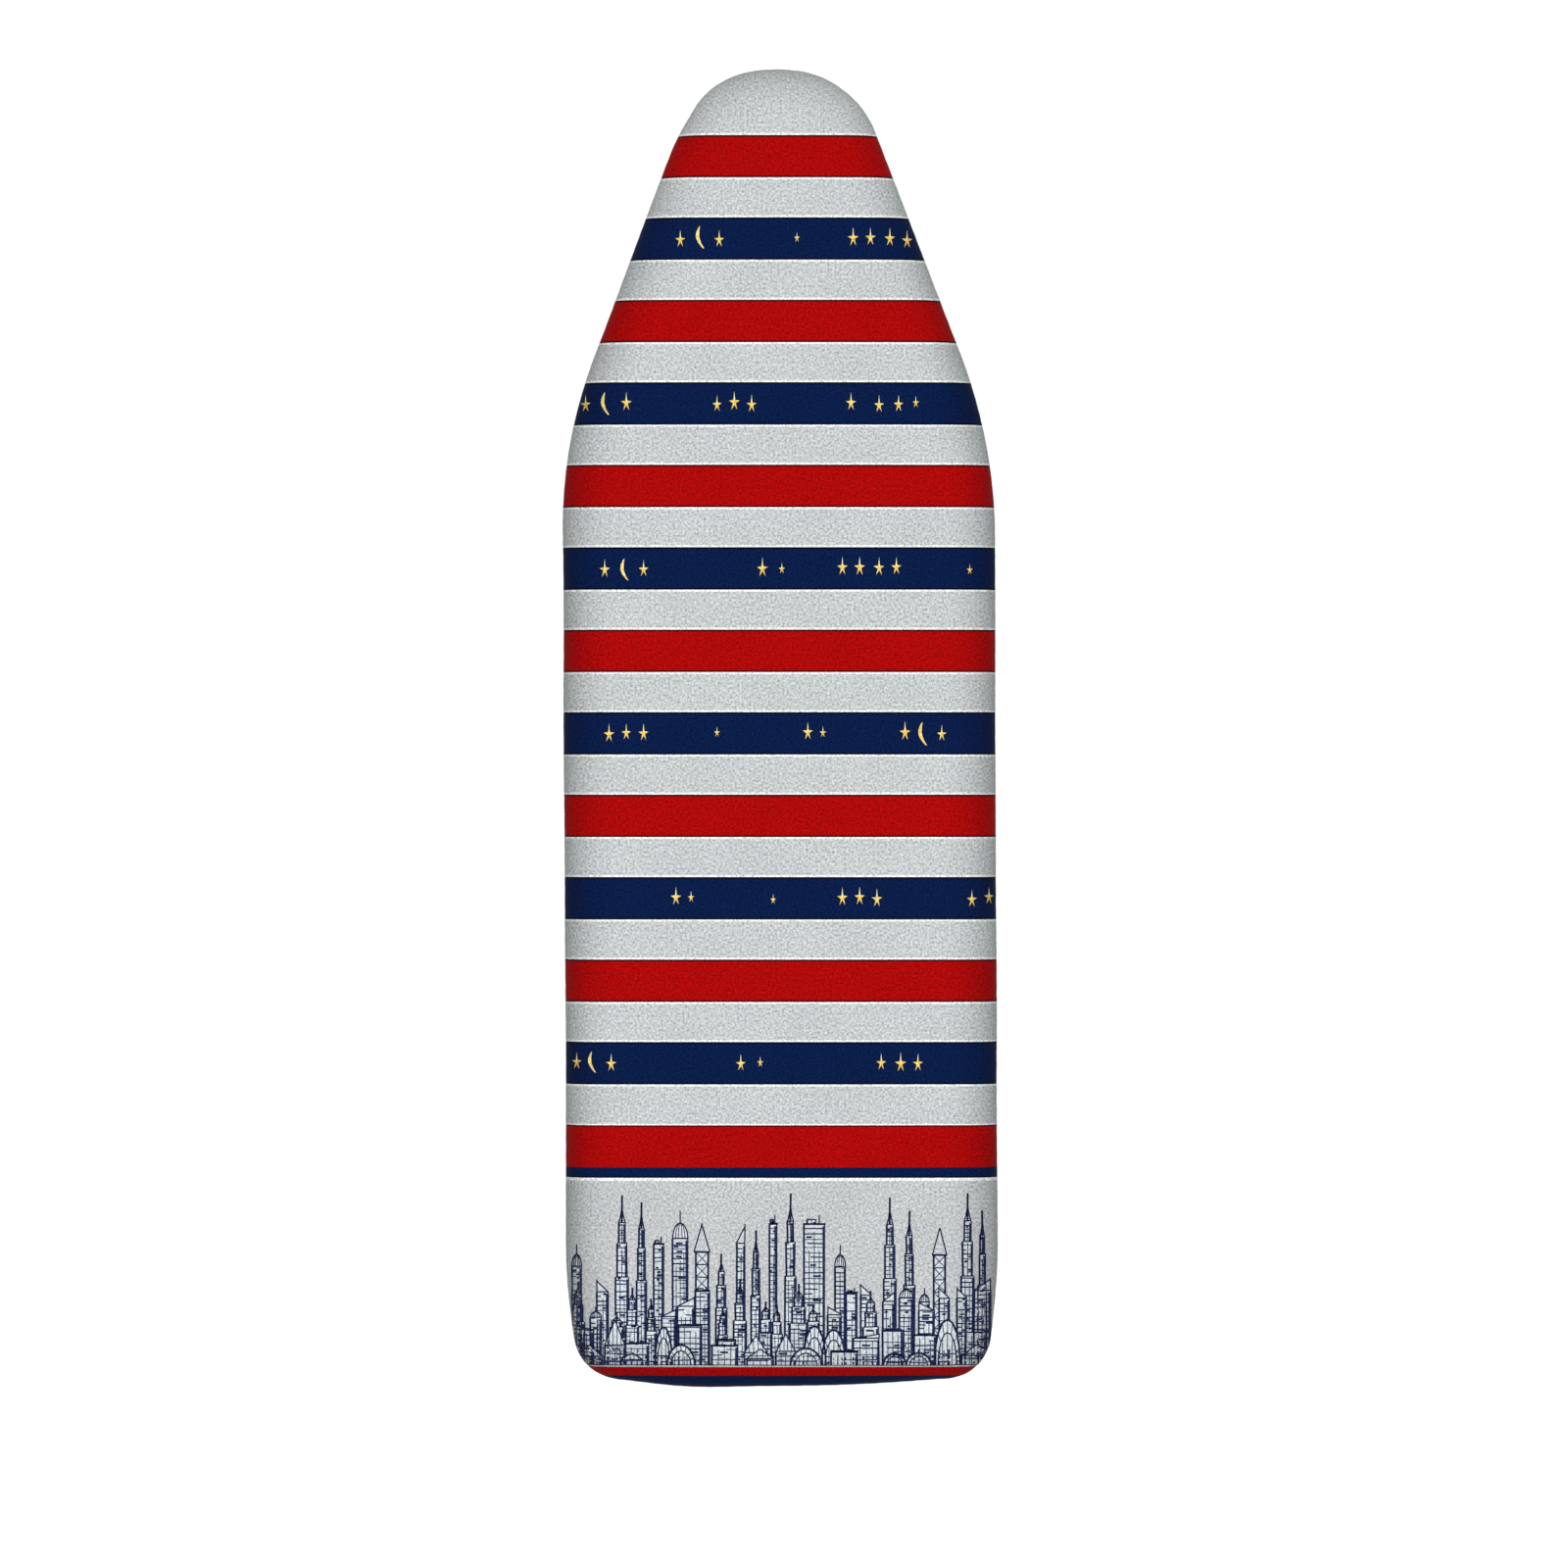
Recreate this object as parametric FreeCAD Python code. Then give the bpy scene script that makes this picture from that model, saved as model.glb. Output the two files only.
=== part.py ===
"""Table-top sleeve ironing board: a padded top in an elasticated cover, on two folding legs.

Millimetres, +Z up. The origin is on the table below the middle of the board, +Y points to the
nose and +X to the right as seen from above. The legs are modelled standing open.
"""
import FreeCAD, Part
import math
import os
from FreeCAD import Vector

# Driving dimensions of the covered board
BOARD_LENGTH = 610.0
BOARD_WIDTH = 199.2
BOARD_HEIGHT = 150.0

# Outline: a blunt nose flares into nearly parallel sides, which end in rounded corners
NOSE_TIP_RADIUS = 72.0
NOSE_TIP_TURN = 8.0
NOSE_RADIUS = 43.5
FLARE_ANGLE = 21.0
SHOULDER_RADIUS = 236.0
TAIL_EASE_RADIUS = 256.0
TAIL_EASE_TURN = 10.0
CORNER_RADIUS = 23.0
CORNER_TURN = 75.0

# Layers of the top, from the outside in
COVER_THICKNESS = 0.8
COVER_TOP_ROUND = 8.0
COVER_BOTTOM_ROUND = 4.8
COVER_RETURN = 13.0
SOFT_GAP = 0.2
PAD_THICKNESS = 7.8
PAD_TOP_ROUND = 7.0
PLATE_THICKNESS = 1.0
PLATE_INSET = 1.5
RIM_DIAMETER = 8.0
RIM_INSET = 1.3

# Hem: a folded binding round the cover's edge, with flat elastic inside
BINDING_INSET = 10.5
BINDING_WIDTH = 9.0
BINDING_THICKNESS = 0.7
BINDING_CAVITY = 1.4
ELASTIC_WIDTH = 4.0
ELASTIC_THICKNESS = 1.2

# Steam holes of the plate
STEAM_HOLE_DIAMETER = 7.0
STEAM_HOLE_PITCH = 20.0
STEAM_HOLE_MARGIN = 20.0

# Cross straps under the plate
STRAP_THICKNESS = 2.0
HINGE_STRAP_WIDTH = 30.0
REST_STRAP_WIDTH = 24.0
NOSE_STRAP_WIDTH = 20.0
NOSE_STRAP_Y = 215.0

# Legs: an upside-down U of tube, whose top bar turns in two bearings
FRONT_PIVOT_Y = 125.0
REAR_PIVOT_Y = -205.0
PIVOT_HEIGHT = 126.0
LEG_SPLAY = 10.0
LEG_TUBE_DIAMETER = 12.0
LEG_TUBE_WALL = 1.0
LEG_HALF_WIDTH = 66.0
LEG_BEND_RADIUS = 18.0
LEG_TIE_DIAMETER = 8.0
LEG_TIE_DROP = 92.0
RUNNING_CLEARANCE = 0.06
STOP_GAP = 0.3
STOP_LUG_TILT = 27.0
STOP_LUG_THICKNESS = 3.0
STOP_LUG_WIDTH = 16.0

# Rubber feet pushed on the ends of the leg tube
FOOT_DIAMETER = 18.0
FOOT_LENGTH = 28.0
FOOT_FLOOR = 6.5
FOOT_ROUND = 1.5

# Bearings: a plastic seat under the strap and a steel saddle below it
BEARING_X = 38.0
SEAT_WIDTH = 16.0
SEAT_LENGTH = 30.0
SEAT_ROUND = 2.0
SADDLE_WIDTH = 14.0
SADDLE_THICKNESS = 1.5

# Clips that hold the folded legs by their ties
CLIP_SLOT_CLEARANCE = 0.3
CLIP_WIDTH = 16.0
CLIP_LENGTH = 18.0
CLIP_LIP = 4.0
CLIP_FLANGE_THICKNESS = 2.8
CLIP_FLANGE_LENGTH = 44.0
CLIP_RIVET_X = 15.0

# Rivets
RIVET_DIAMETER = 4.0
RIVET_HEAD_DIAMETER = 7.0
RIVET_HEAD_HEIGHT = 1.8
BEARING_RIVET_Y = 11.5

# Heights that follow from the layers
PAD_TOP = BOARD_HEIGHT - COVER_THICKNESS - SOFT_GAP
PLATE_TOP = PAD_TOP - PAD_THICKNESS
PLATE_BOTTOM = PLATE_TOP - PLATE_THICKNESS
STRAP_BOTTOM = PLATE_BOTTOM - STRAP_THICKNESS
RIM_CENTRE = PLATE_BOTTOM - RIM_DIAMETER / 2
COVER_INNER_BOTTOM = PLATE_BOTTOM - RIM_DIAMETER - SOFT_GAP
COVER_BOTTOM = COVER_INNER_BOTTOM - COVER_THICKNESS
BINDING_BOTTOM = COVER_BOTTOM - SOFT_GAP - BINDING_THICKNESS

HALF_LENGTH = BOARD_LENGTH / 2
X_AXIS = Vector(1, 0, 0)
Z_AXIS = Vector(0, 0, 1)
NOTHING = Vector(0, 0, 0)

# Each leg: where it pivots, and the direction its feet splay towards along Y
LEGS = {"front": (FRONT_PIVOT_Y, 1), "rear": (REAR_PIVOT_Y, -1)}
SIDES = {"left": -1, "right": 1}


def sine(degrees):
    return math.sin(math.radians(degrees))


def cosine(degrees):
    return math.cos(math.radians(degrees))


def side_moves():
    """Arcs (radius, turn) and straight runs (length, None) down the right side, nose to tail.

    The flare's length makes the board as wide as it has to be, and the side's as long.
    """
    flare_heading = 90 - FLARE_ANGLE
    tail_heading = 90 + TAIL_EASE_TURN
    corner_heading = tail_heading + CORNER_TURN
    flare_width = (
        BOARD_WIDTH / 2
        - NOSE_TIP_RADIUS * sine(NOSE_TIP_TURN)
        - NOSE_RADIUS * (sine(flare_heading) - sine(NOSE_TIP_TURN))
        - SHOULDER_RADIUS * (1 - sine(flare_heading))
    )
    flare_length = flare_width / cosine(flare_heading)
    curved_length = (
        NOSE_TIP_RADIUS * (1 - cosine(NOSE_TIP_TURN))
        + NOSE_RADIUS * (cosine(NOSE_TIP_TURN) - cosine(flare_heading))
        + flare_length * sine(flare_heading)
        + SHOULDER_RADIUS * cosine(flare_heading)
        - TAIL_EASE_RADIUS * cosine(tail_heading)
        + CORNER_RADIUS * (cosine(tail_heading) - cosine(corner_heading))
        + end_radius() * (1 + cosine(corner_heading))
    )
    return [
        (NOSE_RADIUS, flare_heading - NOSE_TIP_TURN),
        (flare_length, None),
        (SHOULDER_RADIUS, FLARE_ANGLE),
        (BOARD_LENGTH - curved_length, None),
        (TAIL_EASE_RADIUS, TAIL_EASE_TURN),
        (CORNER_RADIUS, CORNER_TURN),
    ]


def end_radius():
    """Radius of the wide end's shallow arc, which closes the outline on the centre line."""
    tail_heading = 90 + TAIL_EASE_TURN
    corner_heading = tail_heading + CORNER_TURN
    end_half_width = (
        BOARD_WIDTH / 2
        - TAIL_EASE_RADIUS * (1 - sine(tail_heading))
        - CORNER_RADIUS * (sine(tail_heading) - sine(corner_heading))
    )
    return end_half_width / sine(corner_heading)


def outline(inset, z):
    """Closed wire of the board's outline, moved inwards by inset, at height z."""
    half = side_moves()
    end_turn = 2 * (90 - TAIL_EASE_TURN - CORNER_TURN)
    moves = half + [(end_radius(), end_turn)] + half[::-1] + [(NOSE_TIP_RADIUS, 2 * NOSE_TIP_TURN)]
    heading = NOSE_TIP_TURN
    tip_radius = NOSE_TIP_RADIUS - inset
    x = tip_radius * sine(heading)
    y = HALF_LENGTH - NOSE_TIP_RADIUS + tip_radius * cosine(heading)
    edges = []
    for size, turn in moves:
        start = Vector(x, y, z)
        if turn is None:
            x += size * cosine(heading)
            y -= size * sine(heading)
            edges.append(Part.LineSegment(start, Vector(x, y, z)).toShape())
            continue
        radius = size - inset
        centre = start - Vector(sine(heading), cosine(heading), 0) * radius
        middle = heading + turn / 2
        heading += turn
        through = centre + Vector(sine(middle), cosine(middle), 0) * radius
        end = centre + Vector(sine(heading), cosine(heading), 0) * radius
        edges.append(Part.Arc(start, through, end).toShape())
        x, y = end.x, end.y
    return Part.Wire(edges)


def slab(inset, bottom, top):
    """Flat slab of the board's outline."""
    return Part.Face(outline(inset, bottom)).extrude(Z_AXIS * (top - bottom))


def edges_at(solid, z):
    """Edges of a solid that lie flat at height z."""
    close = 0.001
    return [e for e in solid.Edges if abs(e.BoundBox.ZMin - z) < close and abs(e.BoundBox.ZMax - z) < close]


def rounded_slab(inset, bottom, top, bottom_round, top_round):
    """Slab with rounded upper and lower edges; a round of 0 leaves an edge sharp."""
    solid = slab(inset, bottom, top)
    for z, radius in ((top, top_round), (bottom, bottom_round)):
        if radius:
            solid = solid.makeFillet(radius, edges_at(solid, z))
    return solid


def box(low, high):
    """Box between two corners."""
    size = Vector(*high) - Vector(*low)
    return Part.makeBox(size.x, size.y, size.z, Vector(*low))


def bar_along_x(radius, half_length):
    """Round bar along X about the origin."""
    return Part.makeCylinder(radius, 2 * half_length, X_AXIS * -half_length, X_AXIS)


def rivet(x, y, bottom):
    """Rivet from the top face of a strap down to a domed head below bottom."""
    shank = Part.makeCylinder(RIVET_DIAMETER / 2, PLATE_BOTTOM - bottom, Vector(x, y, bottom), Z_AXIS)
    head_radius = RIVET_HEAD_DIAMETER / 2
    dome_radius = (head_radius**2 + RIVET_HEAD_HEIGHT**2) / (2 * RIVET_HEAD_HEIGHT)
    dome = Part.makeSphere(dome_radius, Vector(x, y, bottom - RIVET_HEAD_HEIGHT + dome_radius))
    below = box(
        (x - head_radius, y - head_radius, bottom - RIVET_HEAD_HEIGHT),
        (x + head_radius, y + head_radius, bottom),
    )
    return shank.fuse(dome.common(below)).removeSplitter()


# Soft layers of the top
def printed_cover():
    """Cloth over the pad and round the rim, turned under all round."""
    outside = rounded_slab(0, COVER_BOTTOM, BOARD_HEIGHT, COVER_BOTTOM_ROUND, COVER_TOP_ROUND)
    inside = rounded_slab(
        COVER_THICKNESS,
        COVER_INNER_BOTTOM,
        BOARD_HEIGHT - COVER_THICKNESS,
        COVER_BOTTOM_ROUND - COVER_THICKNESS,
        COVER_TOP_ROUND - COVER_THICKNESS,
    )
    opening = slab(COVER_RETURN, COVER_BOTTOM - 1, COVER_INNER_BOTTOM + 1)
    return outside.cut(inside).cut(opening)


def hem_binding():
    """Tape folded over the cover's edge, closed towards the middle of the board."""
    height = 2 * BINDING_THICKNESS + BINDING_CAVITY
    inner_edge = BINDING_INSET + BINDING_WIDTH
    tape = slab(BINDING_INSET, BINDING_BOTTOM, BINDING_BOTTOM + height)
    tape = tape.cut(slab(inner_edge, BINDING_BOTTOM - 1, BINDING_BOTTOM + height + 1))
    cavity_bottom = BINDING_BOTTOM + BINDING_THICKNESS
    cavity = slab(BINDING_INSET - 1, cavity_bottom, cavity_bottom + BINDING_CAVITY)
    core = slab(inner_edge - BINDING_THICKNESS, cavity_bottom, cavity_bottom + BINDING_CAVITY)
    return tape.cut(cavity.cut(core))


def hem_elastic():
    """Flat elastic in the fold of the binding."""
    outer_edge = BINDING_INSET + BINDING_WIDTH - BINDING_THICKNESS - SOFT_GAP - ELASTIC_WIDTH
    bottom = BINDING_BOTTOM + BINDING_THICKNESS + (BINDING_CAVITY - ELASTIC_THICKNESS) / 2
    band = slab(outer_edge, bottom, bottom + ELASTIC_THICKNESS)
    return band.cut(slab(outer_edge + ELASTIC_WIDTH, bottom - 1, bottom + ELASTIC_THICKNESS + 1))


def foam_pad():
    """Foam between the cover and the plate."""
    return rounded_slab(COVER_THICKNESS + SOFT_GAP, PLATE_TOP, PAD_TOP, 0, PAD_TOP_ROUND)


# Steel frame of the top
def strap_bands():
    """Each cross strap's name, place along Y and width."""
    bands = {"nose_strap": (NOSE_STRAP_Y, NOSE_STRAP_WIDTH)}
    for end, (pivot_y, outward) in LEGS.items():
        bands[f"{end}_hinge_strap"] = (pivot_y, HINGE_STRAP_WIDTH)
        bands[f"{end}_rest_strap"] = (pivot_y - outward * LEG_TIE_DROP, REST_STRAP_WIDTH)
    return bands


def steam_plate():
    """Sheet that carries the pad, with steam holes in staggered rows between the straps."""
    radius = STEAM_HOLE_DIAMETER / 2
    inside = Part.Face(outline(STEAM_HOLE_MARGIN, 0))
    row_step = STEAM_HOLE_PITCH * sine(60)
    holes = []
    for row in range(-int(HALF_LENGTH / row_step), int(HALF_LENGTH / row_step) + 1):
        y = row * row_step
        if any(abs(y - middle) < width / 2 + radius for middle, width in strap_bands().values()):
            continue
        shift = STEAM_HOLE_PITCH / 2 * (row % 2)
        columns = int(BOARD_WIDTH / 2 / STEAM_HOLE_PITCH) + 1
        for column in range(-columns, columns + 1):
            x = column * STEAM_HOLE_PITCH + shift
            if inside.isInside(Vector(x, y, 0), 0.001, False):
                hole_bottom = Vector(x, y, PLATE_BOTTOM - 1)
                holes.append(Part.makeCylinder(radius, PLATE_THICKNESS + 2, hole_bottom, Z_AXIS))
    return slab(PLATE_INSET, PLATE_BOTTOM, PLATE_TOP).cut(Part.makeCompound(holes))


def rim_rod():
    """Round rod welded under the plate's edge."""
    path = outline(RIM_INSET + RIM_DIAMETER / 2, RIM_CENTRE)
    start = path.Edges[0].Vertexes[0].Point
    direction = path.Edges[0].tangentAt(path.Edges[0].FirstParameter)
    section = Part.Wire(Part.makeCircle(RIM_DIAMETER / 2, start, direction))
    return path.makePipeShell([section], True, False)


def cross_strap(y, width, rim):
    """Flat bar under the plate, shaped to the rim rod where it is welded on."""
    reach = BOARD_WIDTH / 2
    bar = box((-reach, y - width / 2, STRAP_BOTTOM), (reach, y + width / 2, PLATE_BOTTOM))
    within = slab(RIM_INSET + RIM_DIAMETER / 2, STRAP_BOTTOM, PLATE_BOTTOM)
    return bar.common(within).cut(rim)


# Legs, built about the pivot at the origin, hanging down and folding towards -Y
def leg_path():
    """Centre line of the leg tube, down from the top bar on each side."""
    half = LEG_HALF_WIDTH
    bend = LEG_BEND_RADIUS
    toe = -(sole_distance() - FOOT_FLOOR)
    corner = bend * (1 - cosine(45))
    points = [Vector(-half, 0, toe), Vector(-half, 0, -bend)]
    left_middle = Vector(-half + corner, 0, -corner)
    right_middle = Vector(half - corner, 0, -corner)
    return Part.Wire([
        Part.LineSegment(*points).toShape(),
        Part.Arc(points[1], left_middle, Vector(-half + bend, 0, 0)).toShape(),
        Part.LineSegment(Vector(-half + bend, 0, 0), Vector(half - bend, 0, 0)).toShape(),
        Part.Arc(Vector(half - bend, 0, 0), right_middle, Vector(half, 0, -bend)).toShape(),
        Part.LineSegment(Vector(half, 0, -bend), Vector(half, 0, toe)).toShape(),
    ])


def sole_distance():
    """Distance from the pivot to the table along the splayed leg."""
    return PIVOT_HEIGHT / cosine(LEG_SPLAY)


def leg_rod(radius):
    """Solid rod along the leg's centre line."""
    path = leg_path()
    start = path.Edges[0].Vertexes[0].Point
    return path.makePipeShell([Part.Wire(Part.makeCircle(radius, start, Z_AXIS))], True, False)


def leg_tube():
    radius = LEG_TUBE_DIAMETER / 2
    return leg_rod(radius).cut(leg_rod(radius - LEG_TUBE_WALL))


def leg_tie():
    """Cross rod welded between the two sides of the leg."""
    rod = bar_along_x(LEG_TIE_DIAMETER / 2, LEG_HALF_WIDTH)
    rod.translate(Z_AXIS * -LEG_TIE_DROP)
    return rod.cut(leg_rod(LEG_TUBE_DIAMETER / 2))


def leg_stop_lug():
    """Tab on the top bar, which meets the strap above when the leg stands open.

    It is made upright at its tilt from the leg, and its higher corner stops just short.
    """
    free_height = STRAP_BOTTOM - STOP_GAP - PIVOT_HEIGHT
    corner_rise = STOP_LUG_THICKNESS / 2 * sine(STOP_LUG_TILT)
    reach = (free_height - corner_rise) / cosine(STOP_LUG_TILT)
    half_width = STOP_LUG_WIDTH / 2
    half_thickness = STOP_LUG_THICKNESS / 2
    lug = box((-half_width, -half_thickness, 0), (half_width, half_thickness, reach))
    lug.rotate(NOTHING, X_AXIS, -(STOP_LUG_TILT + LEG_SPLAY))
    return lug.cut(bar_along_x(LEG_TUBE_DIAMETER / 2, half_width + 1))


def leg_foot(x):
    """Rubber cap over the tube's end; its sole is cut flat once the leg is splayed."""
    sole = sole_distance()
    overrun = FOOT_DIAMETER / 2 * sine(LEG_SPLAY) + 1
    radius = FOOT_DIAMETER / 2
    cap = Part.makeCylinder(radius, FOOT_LENGTH + overrun, Vector(x, 0, -sole - overrun), Z_AXIS)
    cap = cap.makeFillet(FOOT_ROUND, edges_at(cap, FOOT_LENGTH - sole))
    bore_bottom = Vector(x, 0, FOOT_FLOOR - sole)
    return cap.cut(Part.makeCylinder(LEG_TUBE_DIAMETER / 2, FOOT_LENGTH, bore_bottom, Z_AXIS))


def stand_leg(shape, pivot_y, outward):
    """Splay a leg piece towards +Y, turn it round for the rear leg and put it at its pivot."""
    placed = shape.copy()
    placed.rotate(NOTHING, X_AXIS, LEG_SPLAY)
    if outward < 0:
        placed.rotate(NOTHING, Z_AXIS, 180)
    placed.translate(Vector(0, pivot_y, PIVOT_HEIGHT))
    return placed


def above_table(shape):
    """Shape with everything below the table cut off."""
    limits = shape.BoundBox
    below = box((limits.XMin - 1, limits.YMin - 1, limits.ZMin - 1), (limits.XMax + 1, limits.YMax + 1, 0))
    return shape.cut(below)


# Bearings and clips under the straps
def bearing_bore():
    """The space in which the leg's top bar turns, about the origin."""
    return bar_along_x(LEG_TUBE_DIAMETER / 2 + RUNNING_CLEARANCE, SEAT_WIDTH)


def hinge_seat():
    """Plastic block between strap and bar, with a half-round groove."""
    height = STRAP_BOTTOM - PIVOT_HEIGHT
    half_width = SEAT_WIDTH / 2
    half_length = SEAT_LENGTH / 2
    block = box((-half_width, -half_length, 0), (half_width, half_length, height))
    upright = [e for e in block.Edges if e.BoundBox.ZLength > height / 2]
    return block.makeFillet(SEAT_ROUND, upright).cut(bearing_bore())


def hinge_saddle():
    """Steel strip that carries the bar from below, with a flange each side for its rivet."""
    half_width = SADDLE_WIDTH / 2
    half_length = SEAT_LENGTH / 2
    outer_radius = LEG_TUBE_DIAMETER / 2 + RUNNING_CLEARANCE + SADDLE_THICKNESS
    hoop = bar_along_x(outer_radius, half_width)
    hoop = hoop.common(box((-half_width, -outer_radius, -outer_radius), (half_width, outer_radius, 0)))
    flange = box((-half_width, -half_length, -SADDLE_THICKNESS), (half_width, half_length, 0))
    return hoop.fuse(flange).cut(bearing_bore()).removeSplitter()


def rest_clip(y):
    """Plastic clip, open below, that a folded leg's tie is pushed up into."""
    slot_radius = LEG_TIE_DIAMETER / 2 + CLIP_SLOT_CLEARANCE
    lip = PIVOT_HEIGHT - CLIP_LIP
    half_width = CLIP_WIDTH / 2
    half_length = CLIP_LENGTH / 2
    body = box((-half_width, y - half_length, lip), (half_width, y + half_length, STRAP_BOTTOM))
    flange = box(
        (-CLIP_FLANGE_LENGTH / 2, y - half_length, STRAP_BOTTOM - CLIP_FLANGE_THICKNESS),
        (CLIP_FLANGE_LENGTH / 2, y + half_length, STRAP_BOTTOM),
    )
    slot = bar_along_x(slot_radius, half_width + 1)
    slot.translate(Vector(0, y, PIVOT_HEIGHT))
    mouth = box(
        (-half_width - 1, y - slot_radius, lip - 1),
        (half_width + 1, y + slot_radius, PIVOT_HEIGHT),
    )
    return body.fuse(flange).cut(slot.fuse(mouth)).removeSplitter()


def top_parts():
    """Cover, pad and welded frame."""
    rim = rim_rod()
    parts = {
        "printed_cover": printed_cover(),
        "hem_binding": hem_binding(),
        "hem_elastic": hem_elastic(),
        "foam_pad": foam_pad(),
        "steam_plate": steam_plate(),
        "rim_rod": rim,
    }
    for name, (y, width) in strap_bands().items():
        parts[name] = cross_strap(y, width, rim)
    return parts


def leg_parts(end):
    """The moving pieces of one leg."""
    place = LEGS[end]
    parts = {
        f"{end}_leg_tube": stand_leg(leg_tube(), *place),
        f"{end}_leg_tie": stand_leg(leg_tie(), *place),
        f"{end}_leg_stop_lug": stand_leg(leg_stop_lug(), *place),
    }
    for side, sign in SIDES.items():
        foot = stand_leg(leg_foot(sign * place[1] * LEG_HALF_WIDTH), *place)
        parts[f"{end}_{side}_foot"] = above_table(foot)
    return parts


def bearing_parts(end):
    """Seats and saddles that one leg turns in."""
    parts = {}
    for side, sign in SIDES.items():
        spot = Vector(sign * BEARING_X, LEGS[end][0], PIVOT_HEIGHT)
        parts[f"{end}_{side}_hinge_seat"] = hinge_seat().translated(spot)
        parts[f"{end}_{side}_hinge_saddle"] = hinge_saddle().translated(spot)
    return parts


def bearing_rivets():
    bottom = PIVOT_HEIGHT - SADDLE_THICKNESS
    return [
        rivet(sign * BEARING_X, pivot_y + edge * BEARING_RIVET_Y, bottom)
        for pivot_y, _ in LEGS.values()
        for sign in SIDES.values()
        for edge in (-1, 1)
    ]


def clip_rivets():
    bottom = STRAP_BOTTOM - CLIP_FLANGE_THICKNESS
    return [
        rivet(sign * CLIP_RIVET_X, strap_bands()[f"{end}_rest_strap"][0], bottom)
        for end in LEGS
        for sign in SIDES.values()
    ]


def build():
    """Every node of the board by name."""
    parts = top_parts()
    for end in LEGS:
        parts.update(leg_parts(end))
        parts.update(bearing_parts(end))
        parts[f"{end}_rest_clip"] = rest_clip(strap_bands()[f"{end}_rest_strap"][0])
    fasteners = {
        "bearing_rivets": Part.makeCompound(bearing_rivets()),
        "clip_rivets": Part.makeCompound(clip_rivets()),
    }
    drilled = [name for name in parts if name.endswith(("_strap", "_seat", "_saddle", "_clip"))]
    for name in drilled:
        for group in fasteners.values():
            parts[name] = parts[name].cut(group)
    parts.update(fasteners)
    return parts


def main():
    os.makedirs("parts", exist_ok=True)
    for name, shape in build().items():
        shape.exportStep(f"parts/{name}.step")
        print(f"{name}: {len(shape.Solids)} solid(s), valid {shape.isValid()}, {shape.Volume / 1000:.2f} cm3")


main()
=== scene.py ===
"""Looks of a table-top sleeve ironing board: printed cover, pad, hem and the finishes of its frame.

Metres, in the frame's own axes: +Z up, +Y to the nose, the middle of the board over the origin.
"""

import math
import random

import bpy
import numpy as np
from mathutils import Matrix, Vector, noise
from mathutils.bvhtree import BVHTree
from mathutils.geometry import barycentric_transform, delaunay_2d_cdt


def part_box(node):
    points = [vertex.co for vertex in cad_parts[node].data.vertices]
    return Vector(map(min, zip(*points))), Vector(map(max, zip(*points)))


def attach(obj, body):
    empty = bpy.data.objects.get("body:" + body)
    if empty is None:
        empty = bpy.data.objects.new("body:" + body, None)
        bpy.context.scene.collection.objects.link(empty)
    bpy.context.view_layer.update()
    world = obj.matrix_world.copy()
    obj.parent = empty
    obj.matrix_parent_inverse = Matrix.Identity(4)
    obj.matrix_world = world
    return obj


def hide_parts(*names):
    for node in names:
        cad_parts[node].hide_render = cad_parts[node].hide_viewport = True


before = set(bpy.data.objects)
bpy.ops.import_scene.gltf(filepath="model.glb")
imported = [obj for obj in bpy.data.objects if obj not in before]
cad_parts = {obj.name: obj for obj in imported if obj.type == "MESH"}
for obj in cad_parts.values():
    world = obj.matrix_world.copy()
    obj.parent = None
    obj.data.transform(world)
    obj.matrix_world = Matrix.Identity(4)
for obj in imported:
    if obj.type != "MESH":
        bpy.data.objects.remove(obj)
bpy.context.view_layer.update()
draw = random.Random(7)

MM = 0.001
COVER_LOW, COVER_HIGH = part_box("printed_cover")
BINDING_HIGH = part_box("hem_binding")[1]
HALF_LENGTH = (COVER_HIGH.y - COVER_LOW.y) / 2
HALF_WIDTH = (COVER_HIGH.x - COVER_LOW.x) / 2
COVER_TOP = COVER_HIGH.z
COVER_BOTTOM = COVER_LOW.z

# Outline of the board, as in the design
NOSE_TIP_RADIUS = 72 * MM
NOSE_TIP_TURN = 8
NOSE_RADIUS = 43.5 * MM
FLARE_ANGLE = 21
SHOULDER_RADIUS = 236 * MM
TAIL_EASE_RADIUS = 256 * MM
TAIL_EASE_TURN = 10
CORNER_RADIUS = 23 * MM
CORNER_TURN = 75


# ---------------------------------------------------------------- outline
def sine(degrees):
    return math.sin(math.radians(degrees))


def cosine(degrees):
    return math.cos(math.radians(degrees))


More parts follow.
